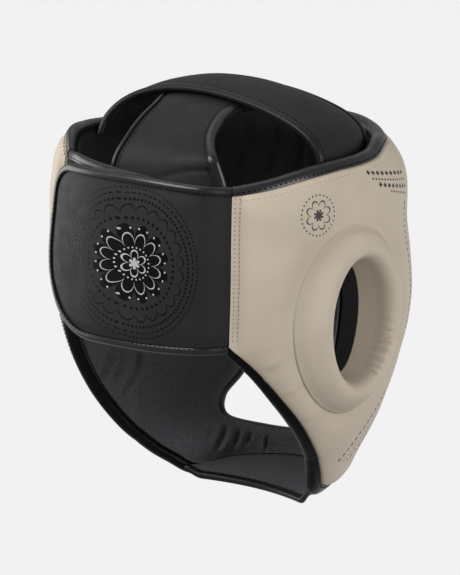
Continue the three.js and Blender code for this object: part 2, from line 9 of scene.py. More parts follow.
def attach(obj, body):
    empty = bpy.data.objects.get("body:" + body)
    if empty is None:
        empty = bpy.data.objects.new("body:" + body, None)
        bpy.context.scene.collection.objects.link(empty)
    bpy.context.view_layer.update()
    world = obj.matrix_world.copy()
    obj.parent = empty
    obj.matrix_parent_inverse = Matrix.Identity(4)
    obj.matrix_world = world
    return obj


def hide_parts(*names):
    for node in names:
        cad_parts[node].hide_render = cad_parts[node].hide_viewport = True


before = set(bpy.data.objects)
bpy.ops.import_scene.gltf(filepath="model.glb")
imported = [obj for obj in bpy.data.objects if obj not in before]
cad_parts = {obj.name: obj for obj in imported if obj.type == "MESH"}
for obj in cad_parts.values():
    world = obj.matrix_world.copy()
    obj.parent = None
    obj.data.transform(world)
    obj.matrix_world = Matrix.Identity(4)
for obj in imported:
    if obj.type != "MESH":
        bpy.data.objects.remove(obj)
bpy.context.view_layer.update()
print("frame loaded:", len(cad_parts), "solids")

mm = 0.001  # sizes below are in millimetres, meshes in metres
seamGap = 0.2  # clearance between pieces that are sewn together
turnNudge = 0.1  # small steps that give the slopes of the head form
heightNudge = 0.5
sharpAngle = 50  # edges sharper than this stay hard
unevenWaves = (61, 43, 31, 23)  # wave lengths of the hand-made unevenness


# Curves and small helpers

def smoothRows(rows):
    # smooth curve through a table by its first column, each slope the mean of both neighbours'
    table = np.array(sorted(rows), float)
    at = table[:, 0]
    values = table[:, 1:]
    step = np.diff(values, axis=0) / np.diff(at)[:, None]
    slope = np.vstack([step[:1], (step[1:] + step[:-1]) / 2, step[-1:]])

    def curve(place):
        place = np.clip(np.asarray(place, float), at[0], at[-1])
        k = np.clip(np.searchsorted(at, place, side="right") - 1, 0, len(at) - 2)
        width = (at[k + 1] - at[k])[..., None]
        t = (place - at[k])[..., None] / width
        start = values[k] * (2 * t**3 - 3 * t**2 + 1) + slope[k] * width * (t**3 - 2 * t**2 + t)
        end = values[k + 1] * (3 * t**2 - 2 * t**3) + slope[k + 1] * width * (t**3 - t**2)
        return start + end

    return curve


def travel(points):
    # length along a line of points up to each of them
    return np.concatenate([[0], np.cumsum(np.linalg.norm(np.diff(points, axis=0), axis=1))])


def evenSpaced(points, count):
    # count points at even steps along a line of points
    length = travel(points)
    places = np.linspace(0, length[-1], count)
    return np.stack([np.interp(places, length, column) for column in points.T], -1)


def throughPoints(points, count, spanSteps=60):
    # rounded line through a few points
    points = np.array(points, float)
    ends = np.vstack([points[:1], points, points[-1:]])
    t = np.linspace(0, 1, spanSteps, endpoint=False)[:, None]
    spans = []
    for k in range(len(points) - 1):
        a, b, c, d = ends[k:k + 4]
        bend = t**2 * (a - 2.5 * b + 2 * c - 0.5 * d) + t**3 * (1.5 * b - 1.5 * c + 0.5 * d - 0.5 * a)
        spans.append(b + 0.5 * t * (c - a) + bend)
    return evenSpaced(np.vstack(spans + [points[-1:]]), count)


def unit(vectors):
    return vectors / np.linalg.norm(vectors, axis=-1, keepdims=True)


def lerp(a, b, share):
    return a + (b - a) * share


def smoothStep(value, low, high):
    t = np.clip((value - low) / (high - low), 0, 1)
    return t * t * (3 - 2 * t)


def roll(distance, reach):
    # padding that rolls up from a sewn edge: 0 on the edge, 1 from the reach on
    left = 1 - np.clip(distance / reach, 0, 1)
    return np.sqrt(1 - left * left)


def rollBoth(across, reach):
    # the same from both edges of a band, across it from 0 to 1
    return roll(across, reach) * roll(1 - across, reach)


def bump(value, middle, width):
    return np.exp(-((value - middle) / width) ** 2)


def unevenness(a, b, seed):
    # soft hand-made unevenness from -1 to 1 over two directions in millimetres
    dice = np.random.default_rng(seed)
    total = 0
    for wave in unevenWaves:
        turned = dice.uniform(0, math.tau)
        phase = dice.uniform(0, math.tau)
        total = total + np.sin((a * math.cos(turned) + b * math.sin(turned)) * math.tau / wave + phase)
    return total / len(unevenWaves)


def crowdedShares(count, crowding):
    # shares from 0 to 1 that lie closer together at both ends
    even = np.linspace(0, 1, count)
    return lerp(even, (1 - np.cos(math.pi * even)) / 2, crowding)


# Head form that every sewn edge follows

headForm = {
    # height, half width, front, back, squareness of the front
    "sections": [
        (95, 84, 82, 84, 2.0),
        (52, 88, 93, 87, 2.05),
        (20, 90, 103, 89, 2.1),
        (-20, 91, 109, 89, 2.2),
        (-60, 88, 109, 86, 2.15),
        (-100, 80, 99, 76, 2.05),
        (-135, 66, 84, 63, 1.95),
        (-165, 52, 68, 52, 1.9),
    ],
    "backSquare": 2.6,
    # angle from the front, rim height on the right, rim height on the left
    "topEdge": [
        (0, 64, 64), (20, 63.5, 66), (35, 61, 65.5), (50, 58.5, 62), (62, 57, 59), (72, 53, 58),
        (82, 51.2, 57.5), (95, 49.2, 57.5), (110, 45.6, 57.5), (125, 41, 56.3), (133, 39, 51.8),
        (140, 37.4, 46), (150, 37.4, 45.4), (160, 37.4, 44.2), (172, 37.4, 42.5), (182, 37.4, 40.5),
        (220, 37.4, 33),
    ],
    # angle from the front, height on the right, height on the left
    "lowerEdge": [
        (0, -151, -151), (40, -150.5, -154), (64, -148.5, -156.5), (75, -145, -149),
        (85, -131.5, -140.5), (95, -112.5, -126), (105, -96.5, -107), (115, -82, -84.5),
        (128, -63, -54), (140, -49, -46),
    ],
    "seamTurn": 140, "middleHeight": -20, "arcEnd": 230, "arcSteps": 2301,
}
sectionAt = smoothRows(headForm["sections"])


def headPoint(turn, z):
    turn, z = np.broadcast_arrays(np.asarray(turn, float), np.asarray(z, float))
    form = sectionAt(z)
    side = np.sin(np.radians(turn))
    ahead = np.cos(np.radians(turn))
    power = 2 / np.where(ahead > 0, form[..., 3], headForm["backSquare"])
    x = form[..., 0] * np.sign(side) * np.abs(side) ** power
    y = np.where(ahead > 0, -form[..., 1], form[..., 2]) * np.abs(ahead) ** power
    return np.stack([x, y, z], -1)


def levelWay(turn, z):
    # short step round the head form at one height
    return headPoint(turn + turnNudge, z) - headPoint(turn - turnNudge, z)


def headNormal(turn, z):
    upward = headPoint(turn, z + heightNudge) - headPoint(turn, z - heightNudge)
    return unit(np.cross(levelWay(turn, z), upward))


def offPoint(turn, z, offset):
    turn, z = np.broadcast_arrays(np.asarray(turn, float), np.asarray(z, float))
    return headPoint(turn, z) + headNormal(turn, z) * np.asarray(offset, float)[..., None]


def turnOf(y, z):
    form = sectionAt(z)
    front = np.clip(-y / form[..., 1], 0, 1) ** (form[..., 3] / 2)
    back = np.clip(y / form[..., 2], 0, 1) ** (headForm["backSquare"] / 2)
    return np.degrees(np.arccos(np.where(y < 0, front, -back)))


arcTurns = np.linspace(0, headForm["arcEnd"], headForm["arcSteps"])
arcTravel = travel(headPoint(arcTurns, headForm["middleHeight"]))


def arcLength(turn):
    # length along the head form at its widest, from the front, negative to the right
    return np.sign(turn) * np.interp(np.abs(turn), arcTurns, arcTravel)


def evenTurns(start, end, count):
    # angles at even steps along the head form
    places = np.linspace(arcLength(start), arcLength(end), count)
    return np.sign(places) * np.interp(np.abs(places), arcTravel, arcTurns)


def rowOnWall(start, end):
    # first point, length and way of a straight row between two places, each an angle and a height
    first = np.array([float(arcLength(start[0])), start[1]])
    last = np.array([float(arcLength(end[0])), end[1]])
    span = float(np.linalg.norm(last - first))
    return first.tolist(), span, ((last - first) / span).tolist()


def edgeCurve(rows):
    # height of an edge at an angle, smooth along the arc, from a table of both sides
    curve = smoothRows([(float(arcLength(turn)), right, left) for turn, right, left in rows])

    def height(turn):
        heights = curve(np.abs(arcLength(turn)))
        return np.where(np.asarray(turn) < 0, heights[..., 0], heights[..., 1])

    return height


topEdge = edgeCurve(headForm["topEdge"])
lowerEdge = edgeCurve(headForm["lowerEdge"])


# Face opening and ear openings

faceOpening = {
    # right half of the sewn edge, seen from the front
    "outline": [
        (0, -10), (44, -12), (61, -29), (60, -54), (53, -80),
        (51, -101), (55, -117.5), (48.5, -131), (26, -136.5), (0, -137),
    ],
    "halfPoints": 110,
    "farAway": 1000,
}
faceHalf = throughPoints(faceOpening["outline"], faceOpening["halfPoints"])
faceLoop = np.vstack([faceHalf, faceHalf[-2:0:-1] * (-1, 1)])


def faceReach(points):
    # distance outside the face opening, negative inside it, and far away at the rear
    x = np.abs(points[..., 0])
    z = points[..., 2]
    nearest = np.full(x.shape, float(faceOpening["farAway"]))
    inside = np.zeros(x.shape, bool)
    for (ax, az), (bx, bz) in zip(faceHalf[:-1], faceHalf[1:]):
        span = math.hypot(bx - ax, bz - az)
        share = np.clip(((x - ax) * (bx - ax) + (z - az) * (bz - az)) / span**2, 0, 1)
        nearest = np.minimum(nearest, np.hypot(x - lerp(ax, bx, share), z - lerp(az, bz, share)))
        if az != bz:
            inside ^= ((az > z) != (bz > z)) & (x < ax + (bx - ax) * (z - az) / (bz - az))
    behind = points[..., 1] >= 0
    return np.where(behind, faceOpening["farAway"], np.where(inside, -nearest, nearest))


earRing = {
    "y": -4, "z": -39.5, "lean": 0.08, "clear": 1.4, "flushFrom": 0.78, "flushPower": 1.6,
    "halfLength": 50.5, "halfHeight": 57,
    "holeShift": -0.7, "holeLength": 25, "holeHeight": 36,
    "deepShift": 2.5, "deepLength": 20, "deepHeight": 33,
    # share of the way from the hole to the outer edge, rise from the head form
    "section": [
        (0, 4), (0.07, 9.5), (0.18, 13.5), (0.4, 15.5), (0.62, 13.9), (0.82, 10.6), (0.94, 8.5), (1, 7.6),
    ],
    "valleyDepth": 2.3, "valleyReach": 10,
    "uneven": 0.2, "evenAtHole": 0.2, "evenAtEdge": 0.15,
}


def earReach(points, halfLength, halfHeight, shift=0):
    # distance past an ellipse round the ear, in the side view
    up = points[..., 2] - earRing["z"]
    along = points[..., 1] - earRing["y"] - shift - earRing["lean"] * up
    return (np.hypot(along / halfLength, up / halfHeight) - 1) * halfLength


# Padding of the shell

shellPad = {
    "edgeHalf": 3, "out": 5.5, "inward": 8, "liningThickness": 2, "uneven": 0.22,
    "rollReach": 16, "faceRoll": 8, "liningReach": 35, "seamStrip": 5,
    # angle, height, spread of the angle, spread of the height, swell: cheek, brow and rear side
    "swells": [(56, -38, 24, 30, 2.2), (52, 36, 28, 18, 4), (122, 25, 16, 30, 2)],
    # the same of the thinner padding at the left rear, above the lower edge
    "leftThin": (127, -56, 15, 24, 4),
    # the same of the cushion inside, in front of the ear
    "cushion": (72, -42, 16, 42, 13),
}


def lowerReach(turn, z):
    ahead = np.linalg.norm(headPoint(turn + 1, z) - headPoint(turn - 1, z), axis=-1)
    slope = (lowerEdge(turn + 1) - lowerEdge(turn - 1)) / ahead
    return (z - lowerEdge(turn)) / np.hypot(1, slope)


def seamReach(turn, z):
    arc = np.linalg.norm(headPoint(turn, z) - headPoint(turn - 1, z), axis=-1)
    return (headForm["seamTurn"] - np.abs(turn)) * arc


def hump(turn, z, atTurn, atHeight, turnSpread, spread, height):
    # swell of the padding, the same on both sides
    return height * bump(np.abs(turn), atTurn, turnSpread) * bump(z, atHeight, spread)


def shellOutside(turn, z):
    # rise of the outer face from the head form
    pad = shellPad
    points = headPoint(turn, z)
    swell = roll(topEdge(turn) - z, pad["rollReach"])
    swell = swell * roll(lowerReach(turn, z), pad["rollReach"])
    swell = swell * roll(seamReach(turn, z) - pad["seamStrip"], pad["rollReach"])
    swell = swell * roll(np.maximum(faceReach(points), 0), pad["faceRoll"])
    past = np.maximum(earReach(points, earRing["halfLength"], earRing["halfHeight"]), 0)
    valley = earRing["valleyDepth"] * (1 - np.clip(past / earRing["valleyReach"], 0, 1)) ** 2
    thick = pad["out"] + sum(hump(turn, z, *spec) for spec in pad["swells"])
    thin = np.where(turn > 0, hump(turn, z, *pad["leftThin"]), 0)
    return pad["edgeHalf"] + (thick - thin - valley) * swell


def shellInside(turn, z):
    # the same of the face under the lining, negative
    pad = shellPad
    swell = 1
    fromFace = faceReach(headPoint(turn, z))
    for reach in (topEdge(turn) - z, lowerReach(turn, z), seamReach(turn, z), fromFace):
        swell = swell * smoothStep(reach, 0, pad["liningReach"])
    return -pad["edgeHalf"] - (pad["inward"] + hump(turn, z, *pad["cushion"])) * swell


# Meshes

def addPiece(name, points, faces, uvMaps=None):
    # plain mesh piece at the origin, unused points left out, faces outwards
    used = np.unique(np.concatenate([np.asarray(face) for face in faces]))
    fresh = np.full(len(points), -1)
    fresh[used] = np.arange(len(used))
    mesh = bpy.data.meshes.new(name)
    mesh.from_pydata((points[used] * mm).tolist(), [], [fresh[list(face)].tolist() for face in faces])
    body = bmesh.new()
    body.from_mesh(mesh)
    bmesh.ops.recalc_face_normals(body, faces=body.faces)
    body.to_mesh(mesh)
    body.free()
    corners = np.zeros(len(mesh.loops), int)
    mesh.loops.foreach_get("vertex_index", corners)
    for label, values in (uvMaps or {}).items():
        layer = mesh.uv_layers.new(name=label)
        layer.data.foreach_set("uv", np.asarray(values)[used][corners].astype(np.float32).ravel())
    mesh.shade_smooth()
    mesh.set_sharp_from_angle(angle=math.radians(sharpAngle))
    return addObject(name, mesh)


def addObject(name, data):
    piece = bpy.data.objects.new(name, data)
    bpy.context.scene.collection.objects.link(piece)
    return piece


def loftFaces(stations, around, ring):
    # closed section loops joined from station to station, with caps where it isn't a ring
    faces = []
    for s in range(stations if ring else stations - 1):
        here = s * around
        there = (s + 1) % stations * around
        for k in range(around):
            after = (k + 1) % around
            faces.append((here + k, there + k, there + after, here + after))
    if not ring:
        faces.append(tuple(range(around)))
        faces.append(tuple(range((stations - 1) * around, stations * around)))
    return faces


def addLoft(name, loops, ring=False, uvMaps=None):
    stations, around = loops.shape[:2]
    return addPiece(name, loops.reshape(-1, 3), loftFaces(stations, around, ring), uvMaps)


def slabLoops(front, back):
    return np.concatenate([front, back[:, ::-1]], axis=1)


def cutGrid(turns, shares, holes):
    # grid on the wall whose points near each hole's edge move onto it, as angles, heights and faces
    turn, share = np.meshgrid(turns, shares, indexing="ij")
    inside = np.zeros(turn.shape, bool)

    def heights():
        return lerp(lowerEdge(turn), topEdge(turn), share)

    for hole in holes:
        depth = hole(turn, heights())
        nearest = np.full(turn.shape, 0.5001)  # a point moves up to half a step
        newTurn = turn.copy()
        newShare = share.copy()
        for first, second in (
            ((slice(None, -1), slice(None)), (slice(1, None), slice(None))),
            ((slice(None), slice(None, -1)), (slice(None), slice(1, None))),
        ):
            a = depth[first]
            b = depth[second]
            crossing = a * b < 0
            where = np.where(crossing, a / np.where(crossing, a - b, 1), 1)
            for mine, other, move in ((first, second, where), (second, first, 1 - where)):
                better = crossing & (move < nearest[mine])
                nearest[mine] = np.where(better, move, nearest[mine])
                newTurn[mine] = np.where(better, lerp(turn[mine], turn[other], move), newTurn[mine])
                newShare[mine] = np.where(better, lerp(share[mine], share[other], move), newShare[mine])
        moved = nearest < 0.5
        turn = newTurn
        share = newShare
        inside |= (depth < 0) & ~moved
    z = heights()
    index = np.arange(turn.size).reshape(turn.shape)
    corners = np.stack([index[:-1, :-1], index[1:, :-1], index[1:, 1:], index[:-1, 1:]], -1)
    flat = inside.ravel()
    faces = []
    for face in corners.reshape(-1, 4).tolist():
        kept = [k for k in face if not flat[k]]
        if len(kept) > 2:
            faces.append(kept)
    return turn.ravel(), z.ravel(), faces


def wallGrid(spec, holes):
    turns = evenTurns(-headForm["seamTurn"], headForm["seamTurn"], spec["columns"])
    return cutGrid(turns, crowdedShares(spec["rows"], spec["edgeCrowding"]), holes)


def rimEdges(faces):
    # edges that only one face uses
    seen = {}
    for face in faces:
        for a, b in zip(face, face[1:] + face[:1]):
            key = (min(a, b), max(a, b))
            seen[key] = None if key in seen else (a, b)
    return [edge for edge in seen.values() if edge]


def addWall(name, faces, front, back, uvMaps=None):
    # closed wall between two faces over one grid
    count = len(front)
    behind = [[k + count for k in face[::-1]] for face in faces]
    rims = [[b, a, a + count, b + count] for a, b in rimEdges(faces)]
    maps = {label: np.vstack([values, values]) for label, values in (uvMaps or {}).items()}
    return addPiece(name, np.vstack([front, back]), faces + behind + rims, maps)


def beadLoops(path, spec, grow, around=18, squareness=2.3):
    # rolled binding that sits on an edge: a rounded bead, where away points off the edge
    at, out, away = path
    tuck = spec.get("tuck", 0)
    swing = np.linspace(-tuck, math.pi + tuck, around)
    across, rise = (np.sign(v) * np.abs(v) ** (2 / squareness) for v in (np.cos(swing), np.sin(swing)))
    rise = (rise - rise[0]) / (1 - rise[0])
    outer = np.reshape(spec["outer"], (-1, 1))
    inner = np.reshape(spec["inner"], (-1, 1))
    offset = (outer + inner) / 2 + (outer - inner) / 2 * across
    height = seamGap + (spec["height"] - seamGap) * rise * np.reshape(grow, (-1, 1))
    return at[:, None] + out[:, None] * offset[..., None] + away[:, None] * height[..., None]


def edgePath(turn, z, lift, hand):
    # edge on the head form: its points, the way out of the wall and the way off the edge
    at = offPoint(turn, z, lift)
    out = headNormal(turn, z)
    along = unit(np.gradient(at, axis=0))
    level = levelWay(turn, z)
    for end in (0, -1):
        along[end] = level[end] * np.sign(along[end] @ level[end])  # both ends close square to the seam
    return at, out, unit(np.cross(out, along)) * hand


# Finishes

class shaderDesk:
    # a new material, with short ways to add and join its nodes
    def __init__(self, name):
        self.material = bpy.data.materials.new(name)
        self.material.use_nodes = True
        self.nodes = self.material.node_tree.nodes
        self.links = self.material.node_tree.links
        self.shader = self.nodes["Principled BSDF"]

    def put(self, socket, value):
        if isinstance(value, bpy.types.NodeSocket):
            self.links.new(value, socket)
        else:
            socket.default_value = value

    def add(self, kind, inputs, **settings):
        node = self.nodes.new(kind)
        for name, value in settings.items():
            setattr(node, name, value)
        for name, value in inputs.items():
            self.put(node.inputs[name], value)
        return node

    def calc(self, operation, *values):
        return self.add("ShaderNodeMath", dict(enumerate(values)), operation=operation).outputs[0]

    def blend(self, share, a, b, kind="RGBA"):
        inputs = {"Factor": share, "A": a, "B": b}
        return self.add("ShaderNodeMix", inputs, data_type=kind).outputs["Result"]

    def spread(self, value, low, high, start=0.0, end=1.0):
        inputs = {"Value": value, "From Min": low, "From Max": high, "To Min": start, "To Max": end}
        return self.add("ShaderNodeMapRange", inputs).outputs["Result"]

    def objectPlace(self):
        return self.add("ShaderNodeTexCoord", {}).outputs["Object"]

    def parts(self, vector):
        return self.add("ShaderNodeSeparateXYZ", {"Vector": vector}).outputs

    def noise(self, place, scale, detail=2.0, roughness=0.5):
        inputs = {"Vector": place, "Scale": scale, "Detail": detail, "Roughness": roughness}
        return self.add("ShaderNodeTexNoise", inputs).outputs["Fac"]

    def cells(self, place, size):
        inputs = {"Vector": place, "Scale": 1 / (size * mm)}
        return self.add("ShaderNodeTexVoronoi", inputs).outputs["Distance"]

    def relief(self, height, distance, strength):
        inputs = {"Height": height, "Distance": distance * mm, "Strength": strength}
        return self.add("ShaderNodeBump", inputs).outputs["Normal"]

    def finish(self, sockets):
        for name, value in sockets.items():
            self.put(self.shader.inputs[name], value)
        return self.material


def mapPlace(desk, uvName):
    # the two lengths of a piece's own map, in millimetres
    parts = desk.parts(desk.add("ShaderNodeUVMap", {}, uv_map=uvName).outputs["UV"])
    return parts["X"], parts["Y"]


def squareSum(desk, a, b):
    return desk.calc("ADD", desk.calc("MULTIPLY", a, a), desk.calc("MULTIPLY", b, b))


def polarPlace(desk, along, across, middle):
    # radius and angle about a middle point of a map
    du = desk.calc("SUBTRACT", along, middle[0])
    dv = desk.calc("SUBTRACT", across, middle[1])
    return desk.calc("SQRT", squareSum(desk, du, dv)), desk.calc("ARCTAN2", dv, du)


petalRound = 0.55  # fullness of a petal's tip


def petalReach(desk, angle, petals, inner, outer):
    # radius of a ring of petals at an angle
    wave = desk.calc("ABSOLUTE", desk.calc("SINE", desk.calc("MULTIPLY", angle, petals / 2)))
    return desk.calc("MULTIPLY_ADD", desk.calc("POWER", wave, petalRound), outer - inner, inner)


def petalLine(desk, place, petals, inner, outer, width):
    # outline of a ring of petals, 1 on the line
    radius, angle = place
    away = desk.calc("SUBTRACT", radius, petalReach(desk, angle, petals, inner, outer))
    return desk.calc("LESS_THAN", desk.calc("ABSOLUTE", away), width)


def petalFill(desk, place, petals, inner, outer):
    radius, angle = place
    return desk.calc("LESS_THAN", radius, petalReach(desk, angle, petals, inner, outer))


def ringDots(desk, place, ring, count, length, width):
    # dots or dashes evenly round a ring, 1 on each dot
    radius, angle = place
    turn = desk.calc("MULTIPLY", angle, count / math.tau)
    along = desk.calc("SUBTRACT", desk.calc("FRACT", turn), 0.5)
    along = desk.calc("MULTIPLY", along, math.tau * ring / count / length)
    away = desk.calc("DIVIDE", desk.calc("SUBTRACT", radius, ring), width)
    return desk.calc("LESS_THAN", squareSum(desk, along, away), 1.0)


def rowMarks(desk, place, start, end, spacing, length, width):
    # lozenges along a straight row of the wall map, given by the angle and height of its ends
    first, span, way = rowOnWall(start, end)
    du = desk.calc("SUBTRACT", place[0], first[0])
    dv = desk.calc("SUBTRACT", place[1], first[1])
    run = desk.calc("ADD", desk.calc("MULTIPLY", du, way[0]), desk.calc("MULTIPLY", dv, way[1]))
    side = desk.calc("SUBTRACT", desk.calc("MULTIPLY", dv, way[0]), desk.calc("MULTIPLY", du, way[1]))
    step = desk.calc("SUBTRACT", desk.calc("FRACT", desk.calc("DIVIDE", run, spacing)), 0.5)
    aside = desk.calc("ABSOLUTE", desk.calc("MULTIPLY", step, spacing / length))
    away = desk.calc("ABSOLUTE", desk.calc("DIVIDE", side, width))
    inRow = desk.calc("COMPARE", run, span / 2, span / 2)
    return desk.calc("MULTIPLY", desk.calc("LESS_THAN", desk.calc("ADD", aside, away), 1.0), inRow)


def anyOf(desk, place, marks):
    # 1 on any of the marks, each a kind and its sizes
    total = None
    for kind, *sizes in marks:
        mask = kind(desk, place, *sizes)
        total = mask if total is None else desk.calc("MAXIMUM", total, mask)
    return total


grainForm = {"poreRate": 2.4, "poreDetail": 3.0, "poreRough": 0.6, "poreHeight": 0.5, "relief": 0.5}
leatherBlend = {"toneScale": 26, "roughScale": 180, "detail": 3.0, "range": (0.3, 0.7)}
sandLook = {
    "light": (0.50, 0.43, 0.345, 1), "dark": (0.45, 0.38, 0.30, 1), "print": (0.035, 0.033, 0.032, 1),
    "specular": 0.3, "rough": (0.46, 0.58), "grainSize": 1.0, "grainDepth": 0.06,
}
darkLook = {
    "light": (0.0185, 0.0185, 0.019, 1), "dark": (0.0137, 0.0137, 0.0141, 1),
    "gloss": (0.003, 0.003, 0.003, 1), "pale": (0.42, 0.42, 0.42, 1), "glossRough": 0.26,
    "specular": 0.15, "rough": (0.5, 0.62), "grainSize": 0.9, "grainDepth": 0.1,
}
bindingLook = {
    "light": (0.009, 0.009, 0.0093, 1), "dark": (0.006, 0.006, 0.0062, 1),
    "specular": 0.5, "rough": (0.26, 0.34), "grainSize": 0.7, "grainDepth": 0.025,
}
softBindingLook = {
    "light": (0.010, 0.010, 0.0103, 1), "dark": (0.007, 0.007, 0.0072, 1),
    "specular": 0.22, "rough": (0.34, 0.44), "grainSize": 0.7, "grainDepth": 0.1,
}
# painted shade: a darker, less glossy copy of the binding leather for the lower and face bindings
shadedBindingLook = {
    "light": (0.005, 0.005, 0.0052, 1), "dark": (0.003, 0.003, 0.0031, 1),
    "specular": 0.1, "rough": (0.2, 0.3), "grainSize": 0.7, "grainDepth": 0.1,
}
liningLook = {
    "light": (0.115, 0.115, 0.125, 1), "dark": (0.062, 0.062, 0.066, 1),
    # painted light: the lining is painted lighter below and darker above, faded in between these heights
    # in metres
    "upperLight": (0.032, 0.032, 0.034, 1), "upperDark": (0.017, 0.017, 0.018, 1), "fade": (-0.06, 0.0),
    "specular": 0.12, "roughness": 0.85, "sheen": 0.06, "sheenRough": 0.4,
    "toneScale": 900, "toneRange": (0.25, 0.75), "weave": 0.55, "weaveHeight": 0.3, "weaveDepth": 0.25,
}
loopLook = {
    "light": (0.022, 0.022, 0.023, 1), "dark": (0.006, 0.006, 0.006, 1), "toneRange": (0.1, 0.6),
    "specular": 0.1, "roughness": 0.95, "sheen": 0.08,
    "loopSize": 0.8, "loopHeight": 0.6, "loopDepth": 0.8,
}
threadLook = {"twist": 2400, "toneRange": (0.3, 0.7), "height": 0.1, "depth": 0.4, "roughness": 0.6}


def leatherBase(desk, look):
    # colour and roughness of a leather, with its grain set
    place = desk.objectPlace()
    tone = desk.noise(place, leatherBlend["toneScale"], leatherBlend["detail"])
    colour = desk.blend(desk.spread(tone, *leatherBlend["range"]), look["dark"], look["light"])
    rough = desk.noise(place, leatherBlend["roughScale"], leatherBlend["detail"])
    rough = desk.spread(rough, *leatherBlend["range"], *look["rough"])
    size = look["grainSize"]
    poreScale = grainForm["poreRate"] / (size * mm)
    pores = desk.noise(place, poreScale, grainForm["poreDetail"], grainForm["poreRough"])
    height = desk.calc("MULTIPLY_ADD", pores, grainForm["poreHeight"], desk.cells(place, size))
    grain = desk.relief(height, size * grainForm["relief"], look["grainDepth"])
    desk.finish({"Specular IOR Level": look["specular"], "Normal": grain})
    return colour, rough


shellPrint = {
    # start and end of each row of small marks as angle and height, mark spacing, half length, half width
    "rows": [
        ((85, 46.5), (60, 40.5), 5.2, 2.1, 1.5),
        ((83, 42.5), (59, 36), 3.4, 1.2, 0.8),
        ((80, 38.5), (58, 31.5), 5.2, 2.1, 1.6),
        ((73, 33), (57, 27), 3.4, 1.2, 0.8),
        ((59, 24), (53, -84), 3.6, 1.4, 1.5),
        ((55.5, 20), (50, -84), 2.4, 0.8, 0.8),
        ((51, -78), (80, -127), 4.2, 1.7, 1.4),
        ((48.5, -84), (75, -128), 2.6, 0.9, 0.7),
        ((46, -90), (70, -129), 4.2, 1.7, 1.4),
        ((44, -95), (66, -130), 2.6, 0.9, 0.7),
    ],
    "badgeTurn": 105.5, "badgeHeight": 26,
    "badge": [
        (petalLine, 8, 4.675, 8.5, 0.45), (petalFill, 8, 1.02, 3.57), (ringDots, 11.475, 28, 0.55, 0.55),
    ],
}


def printedSandLeather():
    # the sand leather with rows of small marks towards the front and a small rosette on each side
    desk = shaderDesk("printedSandLeather")
    colour, rough = leatherBase(desk, sandLook)
    place = mapPlace(desk, "wallMap")
    middle = (float(arcLength(shellPrint["badgeTurn"])), shellPrint["badgeHeight"])
    rows = anyOf(desk, place, [(rowMarks, *row) for row in shellPrint["rows"]])
    badge = anyOf(desk, polarPlace(desk, *place, middle), shellPrint["badge"])
    colour = desk.blend(desk.calc("MAXIMUM", rows, badge), colour, sandLook["print"])
    return desk.finish({"Base Color": colour, "Roughness": rough})


ringLook = {
    "liningFrom": 0.5, "liningTo": 0.53, "lining": (0.011, 0.011, 0.0115, 1),
    # painted shade in the seam at the outer edge: a faint dark line all round, painted darkest at one
    # angle, where the shadow falls
    "seam": (0.16, 0.125, 0.095, 1), "seamFrom": 0.955, "seamTo": 0.985,
    "seamShadowAngle": 5.45, "seamRange": (0.45, 1.0), "seamShade": (0.15, 0.8),
}


def ringLeather():
    # the sand leather of the ear ring, with black lining in the depth of its hole and painted shade in
    # the seam at its outer edge
    desk = shaderDesk("ringLeather")
    colour, rough = leatherBase(desk, sandLook)
    deep = desk.spread(mapPlace(desk, "depthMap")[1], ringLook["liningFrom"], ringLook["liningTo"])
    colour = desk.blend(deep, colour, ringLook["lining"])
    rough = desk.blend(deep, rough, liningLook["roughness"], "FLOAT")
    # painted shade: the seam line is darkest towards the side where the shadow falls
    low, reach = mapPlace(desk, "edgeMap")
    shade = desk.spread(low, *ringLook["seamRange"], *ringLook["seamShade"])
    seam = desk.spread(reach, ringLook["seamFrom"], ringLook["seamTo"])
    colour = desk.blend(desk.calc("MULTIPLY", seam, shade), colour, ringLook["seam"])
    return desk.finish({"Base Color": colour, "Roughness": rough})


def plainLeather(name, look):
    desk = shaderDesk(name)
    colour, rough = leatherBase(desk, look)
    return desk.finish({"Base Color": colour, "Roughness": rough})


flapPrint = {
    "middle": (66, -5),
    "gloss": [
        (petalFill, 12, 14, 23), (petalLine, 24, 29, 33.5, 0.45), (ringDots, 26, 48, 0.95, 0.95),
        (ringDots, 36.5, 96, 0.8, 0.8), (ringDots, 40, 72, 1.3, 0.5), (ringDots, 43, 120, 0.6, 0.6),
    ],
    "pale": [
        (petalLine, 12, 10.5, 17.5, 0.4), (petalLine, 6, 2.5, 7.5, 0.45), (petalFill, 6, 0.6, 3.4),
        (ringDots, 9.2, 24, 0.5, 0.5), (ringDots, 20.3, 24, 0.6, 0.6),
    ],
}


def printedDarkLeather():
    # the flap's leather with a rosette and rings of dots and petals in gloss black and pale grey
    desk = shaderDesk("printedDarkLeather")
    colour, rough = leatherBase(desk, darkLook)
    place = polarPlace(desk, *mapPlace(desk, "flapMap"), flapPrint["middle"])
    gloss = anyOf(desk, place, flapPrint["gloss"])
    colour = desk.blend(gloss, colour, darkLook["gloss"])
    colour = desk.blend(anyOf(desk, place, flapPrint["pale"]), colour, darkLook["pale"])
    rough = desk.blend(gloss, rough, darkLook["glossRough"], "FLOAT")
    return desk.finish({"Base Color": colour, "Roughness": rough})


def liningCloth():
    look = liningLook
    desk = shaderDesk("liningCloth")
    place = desk.objectPlace()
    tone = desk.spread(desk.noise(place, look["toneScale"]), *look["toneRange"])
    # painted light: lighter tones on the lower lining, darker tones above
    upper = desk.spread(desk.parts(place)["Z"], *look["fade"])
    dark = desk.blend(upper, look["dark"], look["upperDark"])
    light = desk.blend(upper, look["light"], look["upperLight"])
    return desk.finish({
        "Base Color": desk.blend(tone, dark, light), "Roughness": look["roughness"],
        "Specular IOR Level": look["specular"], "Sheen Weight": look["sheen"],
        "Sheen Roughness": look["sheenRough"],
        "Normal": desk.relief(desk.cells(place, look["weave"]), look["weaveHeight"], look["weaveDepth"]),
    })


